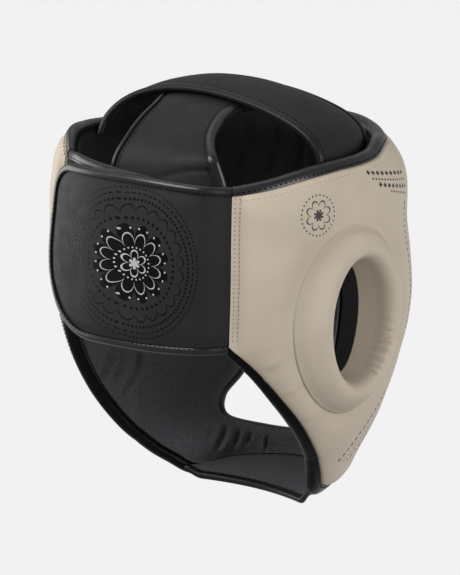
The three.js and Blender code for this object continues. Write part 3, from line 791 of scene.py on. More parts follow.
def loopCloth():
    look = loopLook
    desk = shaderDesk("loopCloth")
    loops = desk.cells(desk.objectPlace(), look["loopSize"])
    return desk.finish({
        "Base Color": desk.blend(desk.spread(loops, *look["toneRange"]), look["light"], look["dark"]),
        "Roughness": look["roughness"], "Specular IOR Level": look["specular"],
        "Sheen Weight": look["sheen"],
        "Normal": desk.relief(loops, look["loopHeight"], look["loopDepth"]),
    })


def threadFinish(name, dark, light, specular):
    desk = shaderDesk(name)
    twist = desk.noise(desk.objectPlace(), threadLook["twist"])
    return desk.finish({
        "Base Color": desk.blend(desk.spread(twist, *threadLook["toneRange"]), dark, light),
        "Roughness": threadLook["roughness"], "Specular IOR Level": specular,
        "Normal": desk.relief(twist, threadLook["height"], threadLook["depth"]),
    })


finishes = {
    "printedSand": printedSandLeather(),
    "ringSand": ringLeather(),
    "dark": plainLeather("darkLeather", darkLook),
    "printedDark": printedDarkLeather(),
    "binding": plainLeather("bindingLeather", bindingLook),
    "softBinding": plainLeather("softBindingLeather", softBindingLook),
    "shadedBinding": plainLeather("shadedBindingLeather", shadedBindingLook),
    "lining": liningCloth(),
    "loop": loopCloth(),
    "blackThread": threadFinish("blackThread", (0.001, 0.001, 0.001, 1), (0.003, 0.003, 0.003, 1), 0.04),
    "sandThread": threadFinish("sandThread", (0.30, 0.24, 0.18, 1), (0.42, 0.36, 0.28, 1), 0.25),
    "needleHole": threadFinish("needleHole", (0.07, 0.05, 0.04, 1), (0.14, 0.11, 0.085, 1), 0.2),
}
print("finishes made:", len(finishes))


def dress(piece, finish, node=None):
    # finish, ride and hidden frame part of one piece
    if not piece.data.materials:
        piece.data.materials.append(finishes[finish])
    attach(piece, "root")
    if node:
        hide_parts(node)
    return piece


# Shell cover

shellGrid = {"columns": 300, "rows": 104, "edgeCrowding": 0.45, "earSlit": 0.03}
shellCreases = {
    # angle, height, slant of the ends, half length, half width: above the slanted lower edge
    "places": [(113, -78, 1.045, 11, 1.5), (104, -96, 1.155, 8, 1.4), (121, -60, 0.825, 7, 1.3)],
    "depth": 1.3, "stretch": 1.4, "slope": 0.62, "ridge": 0.7, "ridgeAt": 3.2, "ridgeWidth": 1.6,
}


def shellCreaseLift(turn, z):
    # troughs with a soft ridge above each
    total = 0
    for atTurn, atHeight, slant, length, width in shellCreases["places"]:
        arc = arcLength(np.abs(turn)) - arcLength(atTurn)
        along = (arc - slant * (z - atHeight)) / shellCreases["stretch"]
        aside = z - atHeight + arc * shellCreases["slope"]
        ridgeWidth = shellCreases["ridgeWidth"] * width
        ridge = shellCreases["ridge"] * bump(aside, shellCreases["ridgeAt"], ridgeWidth)
        total = total + bump(along, 0, length) * (ridge - bump(aside, 0, width))
    return total * shellCreases["depth"]


def makeShellCover():
    length = earRing["halfLength"] + shellGrid["earSlit"]
    height = earRing["halfHeight"] + shellGrid["earSlit"]
    turn, z, faces = wallGrid(shellGrid, [
        lambda turn, z: faceReach(headPoint(turn, z)),
        lambda turn, z: earReach(offPoint(turn, z, shellOutside(turn, z)), length, height),
    ])
    outside = shellOutside(turn, z)
    swell = smoothStep(outside, shellPad["edgeHalf"], shellPad["edgeHalf"] + shellPad["out"])
    arc = arcLength(turn)
    outside = outside + swell * (shellPad["uneven"] * unevenness(arc, z, 4) + shellCreaseLift(turn, z))
    maps = {"wallMap": np.stack([np.abs(arc), z], -1)}
    front = offPoint(turn, z, outside)
    back = offPoint(turn, z, shellInside(turn, z))
    piece = addWall("shellCover", faces, front, back, maps)
    return dress(piece, "printedSand", "outer_shell")


shellCover = makeShellCover()
print("shell cover made:", len(shellCover.data.polygons), "faces")


# Lining

liningGrid = {"columns": 300, "rows": 100, "edgeCrowding": 0.35}
liningPad = {
    "foldFrom": 0.5, "foldTo": 6, "bulgeReach": 5, "faceRoll": 2.2, "rollAt": 3.5, "foldsOffFace": (2, 9),
    "uneven": 0.35,
    # angle, height, spread of the angle, spread of the height, swell
    "chinBulge": (50, -143, 24, 14, 7),
}
liningWaves = {
    # waves below the rim: depth, length, sway, length of the sway, distance below the rim, spread
    "rim": (0.6, 5.1, 0.9, 17, 24, 20),
    # waves at the chin: depth, length, sway, length of the sway, slant
    "chin": (0.5, 2.6, 0.8, 9, 0.03),
    # angle, height, spread of the angle, spread of the height, share
    "chinPlace": (34, -141, 26, 13, 1),
}
liningCreases = [
    # angle and height of both ends, width, depth
    ((99, -80), (113, -104), 2.4, 3.0),
    ((95.5, -82), (99.5, -102), 2.0, 2.2),
    ((89, -83), (95, -112), 2.6, 3.2),
    ((46, -131), (52, -152), 2.4, 3.2),
    ((39.5, -135), (41.5, -150), 2.1, 2.8),
    ((32, -135), (35.5, -149), 2.0, 2.4),
    ((24.5, -132), (21.5, -155), 1.6, 3.0),
    ((42, -93), (42.5, -113), 1.6, 1.6),
    ((34, 58), (36, 30), 3.2, 2.2),
    ((22, 58), (23, 28), 3.4, 2.4),
    ((10, 58), (9, 30), 3.2, 2.2),
    ((48, 56), (50, 30), 3.0, 2.0),
]
creaseForm = {
    "sway": 0.6, "swayRate": 4.2, "fadeIn": (-0.15, 0.25), "fadeOut": (-1.15, -0.7),
    "ridge": 0.55, "ridgeAt": 2.1, "ridgeWidth": 1.2,
}


def creaseLine(arc, z, start, end, width, depth):
    # one crease between two places: a trough with a soft ridge on both sides
    form = creaseForm
    first, span, way = rowOnWall(start, end)
    run = ((arc - first[0]) * way[0] + (z - first[1]) * way[1]) / span
    aside = (z - first[1]) * way[0] - (arc - first[0]) * way[1]
    aside = aside + width * form["sway"] * np.sin(run * form["swayRate"])
    fade = smoothStep(run, *form["fadeIn"]) * smoothStep(-run, *form["fadeOut"])
    ridgeAt = form["ridgeAt"] * width
    ridgeWidth = form["ridgeWidth"] * width
    ridges = bump(aside, ridgeAt, ridgeWidth) + bump(aside, -ridgeAt, ridgeWidth)
    return depth * fade * (form["ridge"] * ridges - bump(aside, 0, width))


def liningFolds(turn, z):
    # soft waves below the rim and along the chin, and single creases, as a lift off the lining
    arc = arcLength(turn)
    depth, length, sway, swayLength, below, spread = liningWaves["rim"]
    rim = np.sin(arc / length + sway * np.sin(arc / swayLength)) * bump(topEdge(turn) - z, below, spread)
    total = depth * rim
    depth, length, sway, swayLength, slant = liningWaves["chin"]
    chin = np.sin(arc / length + sway * np.sin(arc / swayLength) + slant * z)
    total = total + depth * chin * hump(turn, z, *liningWaves["chinPlace"])
    for crease in liningCreases:
        total = total + creaseLine(arc, z, *crease)
    return total


def makeLining():
    pad = liningPad
    deepOval = (earRing["deepLength"], earRing["deepHeight"], earRing["deepShift"])
    turn, z, faces = wallGrid(liningGrid, [
        lambda turn, z: faceReach(headPoint(turn, z)),
        lambda turn, z: earReach(headPoint(turn, z), *deepOval),
    ])
    outside = shellInside(turn, z) - seamGap
    fromFace = faceReach(headPoint(turn, z))
    nearest = np.minimum(topEdge(turn) - z, np.minimum(lowerReach(turn, z), fromFace))
    edge = smoothStep(np.minimum(nearest, seamReach(turn, z)), pad["foldFrom"], pad["foldTo"])
    folds = liningFolds(turn, z) * smoothStep(fromFace, *pad["foldsOffFace"])
    inside = outside - shellPad["liningThickness"]
    inside = inside + edge * (pad["uneven"] * unevenness(arcLength(turn), z, 9) - folds)
    inside = inside - hump(turn, z, *pad["chinBulge"]) * smoothStep(nearest, 0, pad["bulgeReach"])
    inside = inside - pad["faceRoll"] * bump(fromFace, pad["rollAt"], pad["rollAt"])
    piece = addWall("liningCover", faces, offPoint(turn, z, outside), offPoint(turn, z, inside))
    return dress(piece, "lining", "inner_lining")


liningCover = makeLining()
print("lining made:", len(liningCover.data.polygons), "faces")


# Ear rings

earGrid = {"stations": 150, "front": 40, "wall": 12, "back": 12}
earGathers = {
    "depth": 1.7, "count": 46, "sway": 1.3, "swayCount": 9,
    # angle round the hole and share of the way to the outer edge, each with its spread
    "angle": (3.75, 0.55), "reach": (0.12, 0.13),
}


def makeEarRing(side, name, node):
    ring = earRing
    riseAt = smoothRows(ring["section"])
    outer = np.array([0, ring["halfLength"], ring["halfHeight"]])
    hole = np.array([ring["holeShift"], ring["holeLength"], ring["holeHeight"]])
    deepHole = np.array([ring["deepShift"], ring["deepLength"], ring["deepHeight"]])
    frontReach = (1 + np.cos(np.linspace(0, math.pi, earGrid["front"]))) / 2
    wallShare = np.linspace(0, 1, earGrid["wall"] + 2)[1:-1]
    backReach = np.linspace(0, 1, earGrid["back"])
    reach = np.concatenate([frontReach, np.zeros(earGrid["wall"]), backReach])
    inward = np.concatenate([np.zeros(earGrid["front"]), wallShare, np.ones(earGrid["back"])])
    shift, halfLength, halfHeight = np.vstack([
        lerp(hole, outer, frontReach[:, None]),
        lerp(hole, deepHole, wallShare[:, None]),
        lerp(deepHole, outer, backReach[:, None]),
    ]).T
    angle = np.arange(earGrid["stations"]) * math.tau / earGrid["stations"]
    angle, reach = np.meshgrid(angle, reach, indexing="ij")
    inward = np.broadcast_to(inward, reach.shape)
    up = halfHeight * np.sin(angle)
    z = ring["z"] + up
    y = ring["y"] + shift + halfLength * np.cos(angle) + ring["lean"] * up
    turn = turnOf(y, z)
    slant = headNormal(turn, z)[..., 0]
    rise = riseAt(np.clip(reach, 0, 1))[..., 0]
    # the outer edge comes down level with the shell
    flush = np.clip((reach - ring["flushFrom"]) / (1 - ring["flushFrom"]), 0, 1) ** ring["flushPower"]
    rise = lerp(rise, shellOutside(side * turn, z) / slant, flush)
    deep = (shellInside(side * turn, z) + ring["clear"]) / slant
    sway = earGathers["sway"] * np.sin(angle * earGathers["swayCount"])
    gathers = np.sin(angle * earGathers["count"] + sway)
    gathers = gathers * bump(angle, *earGathers["angle"]) * bump(reach, *earGathers["reach"])
    gathers = gathers * (1 - inward) ** 2 * earGathers["depth"]
    uneven = ring["uneven"] * unevenness(y, z, 21)
    uneven = uneven * smoothStep(reach, 0, ring["evenAtHole"])
    uneven = uneven * smoothStep(1 - reach, 0, ring["evenAtEdge"])
    offset = lerp(rise + gathers + uneven, deep, inward)
    x = side * (headPoint(turn, z)[..., 0] + offset)
    # how near each point lies to the side where the seam's painted shade is darkest
    low = np.cos(angle - ringLook["seamShadowAngle"])
    maps = {
        "depthMap": np.stack([low, inward], -1).reshape(-1, 2),
        "edgeMap": np.stack([low, reach], -1).reshape(-1, 2),
    }
    piece = addLoft(name, np.stack([x, y, z], -1), ring=True, uvMaps=maps)
    return dress(piece, "ringSand", node)


makeEarRing(-1, "rightEarPad", "right_ear_ring")
makeEarRing(1, "leftEarPad", "left_ear_ring")
print("ear pads made")


# Rear tab and closure flap

rearTab = {
    "from": 140.4, "to": 212, "inner": -3, "outer": 1.5, "bottom": -45,
    "columns": 90, "rows": 40, "uneven": 0.15,
}


def makeRearTab():
    turns = evenTurns(rearTab["from"], rearTab["to"], rearTab["columns"])
    turn, share = np.meshgrid(turns, np.linspace(0, 1, rearTab["rows"]), indexing="ij")
    z = lerp(rearTab["bottom"], topEdge(turn), share)
    front = offPoint(turn, z, rearTab["outer"] + rearTab["uneven"] * unevenness(turn, z, 5))
    back = offPoint(turn, z, rearTab["inner"])
    piece = addLoft("tabPad", slabLoops(front, back))
    return dress(piece, "loop", "rear_tab")


makeRearTab()

closureFlap = {
    "seamGap": 0.3, "endTurn": 214, "inner": 2, "outer": 7.5, "rootTurn": 13,
    "rootTop": 37.6, "endTop": 40.2, "rootBottom": -48.6, "endBottom": -50.8, "settled": 0.6,
    "topLength": 22, "topHeight": 15, "bottomLength": 44, "bottomHeight": 38,
    "cornerStart": 0.66, "edgePinch": 0.7, "pinchReach": 4.5, "uneven": 0.15,
    # the end stands off by this much, from this place on, most at this height, within this spread
    "endBow": 2.2, "bowFrom": 0.72, "bowHeight": -12, "bowSpread": 34,
}
flapGrid = {
    "columns": 90, "rows": 60, "edgeCrowding": 0.5,
    "edgeColumns": 120, "endPoints": 40, "edgePoints": 420, "lengthPoints": 400,
}


def flapTurn(k):
    return -lerp(headForm["seamTurn"] + closureFlap["seamGap"], closureFlap["endTurn"], k)


flapLine = offPoint(flapTurn(np.linspace(0, 1, flapGrid["lengthPoints"])), 0, closureFlap["outer"])
flapLength = travel(flapLine)[-1]


def cornerPull(fromEnd, length, height):
    into = np.clip(1 - fromEnd / length, 0, 1)
    return height * (1 - np.sqrt(1 - into * into))


def flapHeights(k):
    fromEnd = (1 - k) * flapLength
    settle = smoothStep(k, 0, closureFlap["settled"])
    top = lerp(closureFlap["rootTop"], closureFlap["endTop"], settle)
    bottom = lerp(closureFlap["rootBottom"], closureFlap["endBottom"], settle)
    top = top - cornerPull(fromEnd, closureFlap["topLength"], closureFlap["topHeight"])
    bottom = bottom + cornerPull(fromEnd, closureFlap["bottomLength"], closureFlap["bottomHeight"])
    return top, bottom


def flapOffset(k, z, start, end):
    turned = k * (closureFlap["endTurn"] - headForm["seamTurn"])
    bow = closureFlap["endBow"] * bump(z, closureFlap["bowHeight"], closureFlap["bowSpread"])
    bow = bow * smoothStep(k, closureFlap["bowFrom"], 1)
    return lerp(start, end, smoothStep(turned, 0, closureFlap["rootTurn"])) + bow


def flapPlaces(count):
    # places along the flap, closer together in its rounded corners
    start = closureFlap["cornerStart"]
    run = np.linspace(0, start, count, endpoint=False)
    return np.concatenate([run, lerp(start, 1, np.sin(np.linspace(0, math.pi / 2, count)))])


def flapEdge():
    # line round the top, the end and the bottom of the flap
    k = flapPlaces(flapGrid["edgeColumns"])
    top, bottom = flapHeights(k)
    upper = np.stack([k, top], -1)
    lower = np.stack([k, bottom], -1)[::-1]
    endHeights = np.linspace(top[-1], bottom[-1], flapGrid["endPoints"] + 2)[1:-1]
    end = np.stack([np.ones(flapGrid["endPoints"]), endHeights], -1)
    line = evenSpaced(np.vstack([upper, end, lower]) * (flapLength, 1), flapGrid["edgePoints"])
    return line[:, 0] / flapLength, line[:, 1]


def flapSkin(k, z):
    # outer face of the flap, pinched down to its bound edge
    top, bottom = flapHeights(k)
    fromEdge = np.minimum(np.minimum(top - z, z - bottom), (1 - k) * flapLength)
    pinch = closureFlap["edgePinch"] * bump(np.maximum(fromEdge, 0), 0, closureFlap["pinchReach"])
    return flapOffset(k, z, shellPad["edgeHalf"], closureFlap["outer"]) - pinch


def makeFlap():
    shares = crowdedShares(flapGrid["rows"], flapGrid["edgeCrowding"])
    k, share = np.meshgrid(flapPlaces(flapGrid["columns"]), shares, indexing="ij")
    top, bottom = flapHeights(k)
    z = lerp(bottom, top, share)
    turn = flapTurn(k)
    uneven = closureFlap["uneven"] * unevenness(k * flapLength, z, 12)
    front = offPoint(turn, z, flapSkin(k, z) + uneven)
    back = offPoint(turn, z, flapOffset(k, z, -shellPad["edgeHalf"], closureFlap["inner"]))
    flat = np.stack([k * flapLength, z], -1)
    maps = {"flapMap": slabLoops(flat, flat).reshape(-1, 2)}
    piece = addLoft("flapPad", slabLoops(front, back), uvMaps=maps)
    return dress(piece, "printedDark", "closure_flap")


makeFlap()
print("closure made, flap length", round(float(flapLength), 1), "mm")


# Crown band and rear strap

crownBand = {
    "rearEndRight": 11, "rearEndLeft": 30, "frontEndY": -48, "rearTopY": 13, "frontTopY": -48,
    "rearTop": 87.6, "frontTop": 85.4, "bulge": 5.5, "lean": 7, "arch": 0.78, "thickness": 3.5,
    "rearInset": 7, "frontInset": 10, "rimDrop": 1.5, "halfSpan": 80,
    "pad": 0.9, "padRoll": 0.16, "padSink": 0.6, "uneven": 0.2, "unevenSpan": (80, 55),
    "stations": 120, "rows": 34, "edgeCrowding": 0.6,
}


def crownPoint(across, swing, depth):
    band = crownBand
    across, swing, depth = np.broadcast_arrays(*(np.asarray(v, float) for v in (across, swing, depth)))
    topY = lerp(band["rearTopY"], band["frontTopY"], across)
    inset = lerp(band["rearInset"], band["frontInset"], across)
    ends = []
    for side, rearEnd in ((1, band["rearEndLeft"]), (-1, band["rearEndRight"])):
        endY = lerp(rearEnd, band["frontEndY"], across)
        turn = side * turnOf(endY, topEdge(side * headForm["seamTurn"] / 2))
        ends.append(offPoint(turn, topEdge(turn) - band["rimDrop"], -inset - depth))
    lift = np.maximum(np.sin(swing), 0) ** band["arch"]
    rim = lerp(ends[0], ends[1], ((1 - np.cos(swing)) / 2)[..., None])
    top = lerp(band["rearTop"], band["frontTop"], across) + band["bulge"] * 4 * across * (1 - across)
    lean = band["lean"] * lift * lift * np.cos(swing)
    height = lerp(rim[..., 2], top - depth, lift) + lean
    return np.stack([rim[..., 0], lerp(rim[..., 1], topY, lift), height], -1)


def crownLift(across):
    return crownBand["pad"] * (rollBoth(across, crownBand["padRoll"]) - crownBand["padSink"])


def makeCrownBand():
    band = crownBand
    swing = np.linspace(0, math.pi, band["stations"])
    swing, across = np.meshgrid(swing, crowdedShares(band["rows"], band["edgeCrowding"]), indexing="ij")
    alongSpan, acrossSpan = band["unevenSpan"]
    pad = crownLift(across) + band["uneven"] * unevenness(swing * alongSpan, across * acrossSpan, 33)
    piece = addLoft("crownPad", slabLoops(
        crownPoint(across, swing, -pad),
        crownPoint(across, swing, band["thickness"]),
    ))
    return dress(piece, "dark", "crown_band")


makeCrownBand()

rearStrap = {
    # y, height, left edge, right edge, share that lies on the rear wall
    "sections": [
        (-8, 87.5, 42, -15, 0),
        (3, 86, 41, -15.5, 0),
        (15, 82.7, 38, -16, 0),
        (36, 80.5, 24, -22, 0),
        (56, 75, 16, -31.5, 0),
        (72, 63, 12.5, -45.5, 0.4),
        (82, 48, 17, -50.5, 1),
        (82, 30, 19, -56, 1),
    ],
    "thickness": 3.5, "wallInset": 4.6, "boundFrom": 1.9, "boundTo": 6.6, "nudge": 0.02,
    "pad": 0.5, "padRoll": 0.2, "stations": 90, "rows": 30, "edgeCrowding": 0.5,
    # crease above the rim: depth, place, width, sway, rate of the sway, where it fades in across
    "crease": (0.7, 6.1, 0.09), "creaseSway": (0.25, 5), "creaseFade": (0.3, 0.7),
}
strapAt = smoothRows([(k, *row) for k, row in enumerate(rearStrap["sections"])])


def strapPoint(step, across):
    step, across = np.broadcast_arrays(np.asarray(step, float), np.asarray(across, float))
    y, z, left, right, onWall = np.moveaxis(strapAt(step), -1, 0)
    x = lerp(left, right, across)
    share = x / crownBand["halfSpan"]
    sag = (z - topEdge(headForm["seamTurn"])) * (1 - (1 - share * share) ** (crownBand["arch"] / 2))
    lean = crownBand["lean"] * (1 - share * share) * share
    form = sectionAt(z)
    square = headForm["backSquare"]
    wallShare = np.abs(x) / (form[..., 0] - rearStrap["wallInset"])
    wallY = (form[..., 2] - rearStrap["wallInset"]) * (1 - wallShare**square) ** (1 / square)
    return np.stack([x, lerp(y, wallY, onWall), z + (lean - sag) * (1 - onWall)], -1)


def strapFrame(step, across):
    # points of the strap, the way out of it and the way to its left
    nudge = rearStrap["nudge"]
    along = unit(strapPoint(step + nudge, across) - strapPoint(step - nudge, across))
    aside = unit(strapPoint(step, across - nudge) - strapPoint(step, across + nudge))
    return strapPoint(step, across), unit(np.cross(aside, along)), aside


def strapLift(across):
    return rearStrap["pad"] * (rollBoth(across, rearStrap["padRoll"]) - 1)


def makeRearStrap():
    strap = rearStrap
    lastStep = len(strap["sections"]) - 1
    steps = np.linspace(strap["nudge"], lastStep - strap["nudge"], strap["stations"])
    step, across = np.meshgrid(steps, crowdedShares(strap["rows"], strap["edgeCrowding"]), indexing="ij")
    at, out = strapFrame(step, across)[:2]
    depth, place, width = strap["crease"]
    sway, swayRate = strap["creaseSway"]
    crease = depth * bump(step, place + sway * np.sin(across * swayRate), width)
    crease = crease * smoothStep(across, *strap["creaseFade"])
    front = at + out * (strapLift(across) - crease)[..., None]
    piece = addLoft("strapPad", slabLoops(front, at - out * strap["thickness"]))
    return dress(piece, "dark", "crown_rear_strap")


makeRearStrap()
print("crown made")


# Chin shelf

chinShelf = {
    "turn": 66, "frontLift": 0.6, "rearZ": -158, "rearY": -24, "bow": 9, "halfLength": 46,
    "thickness": 4, "endThickness": 1.5, "reach": 5, "endReach": 3.5, "endFrom": 50,
    # place of the bound end, where it starts to rise, rise
    "leftEnd": (47.5, 37, 3.2), "rightEnd": (54, 44, 7.5),
    "endTaper": 0.35, "taperPower": 9, "uneven": 0.3, "stations": 90, "rows": 30,
}


def shelfRear(x):
    # points of the rear edge, which rises at both ends
    share = x / chinShelf["halfLength"]
    y = chinShelf["rearY"] - chinShelf["bow"] * (1 - share * share)
    rises = []
    for end, start, rise in (chinShelf["leftEnd"], chinShelf["rightEnd"]):
        rises.append(rise * smoothStep(np.abs(x), start, end))
    return np.stack([x, y, chinShelf["rearZ"] + np.where(x > 0, *rises)], -1)


def shelfEnds(turns):
    return smoothStep(np.abs(turns), chinShelf["endFrom"], chinShelf["turn"])


def shelfFront(turns):
    # height of the front edge and its offset from the head form
    reach = lerp(chinShelf["reach"], chinShelf["endReach"], shelfEnds(turns))
    return lowerEdge(turns) + chinShelf["frontLift"], -reach


def makeChinShelf():
    turns = np.linspace(-chinShelf["turn"], chinShelf["turn"], chinShelf["stations"])
    share = np.linspace(0, 1, chinShelf["rows"])[None, :, None]
    frontZ, offset = shelfFront(turns)

    def rows(down):
        front = offPoint(turns, frontZ - down, offset)
        rear = shelfRear(front[:, 0])
        rear[:, 2] -= down
        return lerp(front[:, None], rear[:, None], share)

    top = rows(0)
    top[..., 2] += chinShelf["uneven"] * unevenness(top[..., 0], top[..., 1], 40)
    bottom = rows(lerp(chinShelf["thickness"], chinShelf["endThickness"], shelfEnds(turns)))
    piece = addLoft("shelfPad", slabLoops(top, bottom))
    return dress(piece, "lining", "chin_shelf")


makeChinShelf()
print("chin shelf made")


# Rolled bindings

wallBinding = {"outer": 3.6, "inner": -5.8, "height": 5.5}
faceBinding = {"outer": 3.6, "inner": -5.6, "height": 3}
flapBinding = {"outer": 3.9, "inner": -2.9, "height": 5, "tuck": 0.6}
tabBinding = {"outer": 1.5, "inner": -3.4, "height": 5}
strapBinding = {"outer": 0.8, "inner": -4.3, "height": 4}
strapWide = {"outer": 0.9, "inner": -4.3, "height": 5.6}
chinCorner = {"turn": -72, "spread": 12, "grow": 0.6}
rimTaper = {"turns": (122, 139), "more": 0.4}
pathPoints = {"wall": 320, "tab": 120, "crown": 140, "strap": 80, "shelf": 80}


def addBinding(name, path, spec, node, finish="binding", ring=False, grow=1.0):
    piece = addLoft(name, beadLoops(path, spec, grow), ring)
    return dress(piece, finish, node)


def facePath():
    x, z = faceLoop.T
    form = sectionAt(z)
    turn = np.sign(x) * np.degrees(np.arcsin((np.abs(x) / form[:, 0]) ** (form[:, 3] / 2)))
    along = unit(np.roll(faceLoop, -1, axis=0) - np.roll(faceLoop, 1, axis=0))
    level = np.zeros(len(x))
    out = np.stack([level, 1 / headNormal(turn, z)[:, 1], level], -1)
    return headPoint(turn, z), out, np.stack([along[:, 1], level, -along[:, 0]], -1)


def flapBound():
    k, z = flapEdge()
    middle = (closureFlap["inner"] + closureFlap["outer"]) / 2
    return edgePath(flapTurn(k), z, flapOffset(k, z, 0, middle), -1)


def crownPath(across):
    swing = np.linspace(0, math.pi, pathPoints["crown"])
    at = crownPoint(across, swing, 0)
    out = unit(at - crownPoint(across, swing, crownBand["thickness"]))
    return at, out, np.zeros(at.shape) + (0, -1 if across > 0.5 else 1, 0)


def strapPath(across):
    steps = np.linspace(rearStrap["boundFrom"], rearStrap["boundTo"], pathPoints["strap"])
    at, out, aside = strapFrame(steps, across)
    return at, out, aside * (-1 if across > 0.5 else 1)


def shelfPath():
    x = np.linspace(-chinShelf["rightEnd"][0], chinShelf["leftEnd"][0], pathPoints["shelf"])
    at = shelfRear(x)
    return at, np.zeros(at.shape) + (0, 0, 1), np.zeros(at.shape) + (0, 1, 0)


wallTurns = evenTurns(-headForm["seamTurn"], headForm["seamTurn"], pathPoints["wall"])
rimPath = edgePath(wallTurns, topEdge(wallTurns), 0, 1)
lowerPath = edgePath(wallTurns, lowerEdge(wallTurns), 0, -1)
flapPath = flapBound()
tabTurns = evenTurns(rearTab["from"], rearTab["to"], pathPoints["tab"])
tabPath = edgePath(tabTurns, topEdge(tabTurns), 0, 1)

rimEnd = smoothStep(wallTurns, *rimTaper["turns"])  # the rim's left end narrows to the tab's binding
rimSpec = {
    "outer": lerp(wallBinding["outer"], tabBinding["outer"] + rimTaper["more"], rimEnd),
    "inner": lerp(wallBinding["inner"], tabBinding["inner"] - rimTaper["more"], rimEnd),
    "height": wallBinding["height"],
}
rimGrow = lerp(1, tabBinding["height"] / wallBinding["height"], rimEnd)
cornerGrow = 1 + chinCorner["grow"] * bump(wallTurns, chinCorner["turn"], chinCorner["spread"])
shelfShare = np.abs(np.linspace(-1, 1, pathPoints["shelf"]))
shelfGrow = 1 - chinShelf["endTaper"] * shelfShare ** chinShelf["taperPower"]
addBinding("rimBinding", rimPath, rimSpec, "top_rim_binding", grow=rimGrow)
# the lower and face bindings wear the darker copy of the binding leather, as painted shade
addBinding("lowerBinding", lowerPath, wallBinding, "lower_edge_binding", "shadedBinding", grow=cornerGrow)
addBinding("faceBinding", facePath(), faceBinding, "face_opening_binding", "shadedBinding", ring=True)
addBinding("flapBinding", flapPath, flapBinding, "flap_binding")
addBinding("tabBinding", tabPath, tabBinding, "tab_binding")
addBinding("crownRearBinding", crownPath(0.0), strapBinding, "crown_rear_binding", "softBinding")
addBinding("crownFrontBinding", crownPath(1.0), strapBinding, "crown_front_binding", "softBinding")
addBinding("strapLeftBinding", strapPath(0.0), strapBinding, "strap_left_binding", "softBinding")
addBinding("strapRightBinding", strapPath(1.0), strapWide, "strap_right_binding")
addBinding("shelfBinding", shelfPath(), strapBinding, "shelf_binding", "softBinding", grow=shelfGrow)
print("bindings made")


# Stitches

stitchBall = {"Segments": 8, "Rings": 5, "Radius": 0.5}


def stitchTree():
    # stitches of one size along every line of a mesh, standing on the lines' facing attribute
    tree = bpy.data.node_groups.new("stitchRows", "GeometryNodeTree")
    sockets = tree.interface
    sockets.new_socket("Lines", in_out="INPUT", socket_type="NodeSocketGeometry")
    for label in ("Spacing", "Length", "Width", "Height"):
        sockets.new_socket(label, in_out="INPUT", socket_type="NodeSocketFloat")
    sockets.new_socket("Finish", in_out="INPUT", socket_type="NodeSocketMaterial")
    sockets.new_socket("Stitches", in_out="OUTPUT", socket_type="NodeSocketGeometry")
    nodes = {name: tree.nodes.new(kind) for name, kind in (
        ("given", "NodeGroupInput"), ("curve", "GeometryNodeMeshToCurve"),
        ("even", "GeometryNodeResampleCurve"), ("tangent", "GeometryNodeInputTangent"),
        ("facing", "GeometryNodeInputNamedAttribute"), ("axes", "FunctionNodeAxesToRotation"),
        ("stitch", "GeometryNodeMeshUVSphere"), ("size", "ShaderNodeCombineXYZ"),
        ("shape", "GeometryNodeTransform"), ("rounded", "GeometryNodeSetShadeSmooth"),
        ("place", "GeometryNodeInstanceOnPoints"), ("real", "GeometryNodeRealizeInstances"),
        ("finish", "GeometryNodeSetMaterial"), ("result", "NodeGroupOutput"),
    )}
    nodes["even"].mode = "LENGTH"
    nodes["facing"].data_type = "FLOAT_VECTOR"
    nodes["facing"].inputs["Name"].default_value = "facing"
    nodes["axes"].primary_axis = "X"
    nodes["axes"].secondary_axis = "Z"
    for label, value in stitchBall.items():
        nodes["stitch"].inputs[label].default_value = value
    for source, output, target, entry in (
        ("given", "Lines", "curve", "Mesh"),
        ("curve", "Curve", "even", "Curve"),
        ("given", "Spacing", "even", "Length"),
        ("tangent", "Tangent", "axes", "Primary Axis"),
        ("facing", "Attribute", "axes", "Secondary Axis"),
        ("given", "Length", "size", "X"),
        ("given", "Width", "size", "Y"),
        ("given", "Height", "size", "Z"),
        ("stitch", "Mesh", "shape", "Geometry"),
        ("size", "Vector", "shape", "Scale"),
        ("shape", "Geometry", "rounded", "Geometry"),
        ("even", "Curve", "place", "Points"),
        ("rounded", "Geometry", "place", "Instance"),
        ("axes", "Rotation", "place", "Rotation"),
        ("place", "Instances", "real", "Geometry"),
        ("real", "Geometry", "finish", "Geometry"),
        ("given", "Finish", "finish", "Material"),
        ("finish", "Geometry", "result", "Stitches"),
    ):
        tree.links.new(nodes[source].outputs[output], nodes[target].inputs[entry])
    return tree


stitchNodes = stitchTree()
stitchSizes = {
    "needle": {"Spacing": 2.5, "Length": 0.75, "Width": 0.75, "Height": 0.3},
    "sand": {"Spacing": 3.4, "Length": 2.2, "Width": 0.5, "Height": 0.4},
    "black": {"Spacing": 3.2, "Length": 2.2, "Width": 0.8, "Height": 0.55},
    "seam": {"Spacing": 2.4, "Length": 2.6, "Width": 0.9, "Height": 0.7},
    "fine": {"Spacing": 3.2, "Length": 2.2, "Width": 0.55, "Height": 0.3},
}
stitchPlaces = {
    "seamInsets": (1.7, 4.4), "aboveLowerEdge": 4, "belowRim": 1.5, "seamPoints": 80,
    "rimTurn": 136, "rimDrop": 3.2, "rimSink": -0.1, "rimPoints": 300,
    "wallUp": 1.5, "tabUp": 1.3, "shelfUp": 1.4, "flapOut": 3.55, "flapUp": 0.6,
    "shelfTurn": 60, "shelfSink": 0.4, "shelfPoints": 120,
    "crownRows": (0.03, 0.97), "crownEnd": 0.04, "strapRows": (0.04, 0.965), "strapPast": 0.4,
}


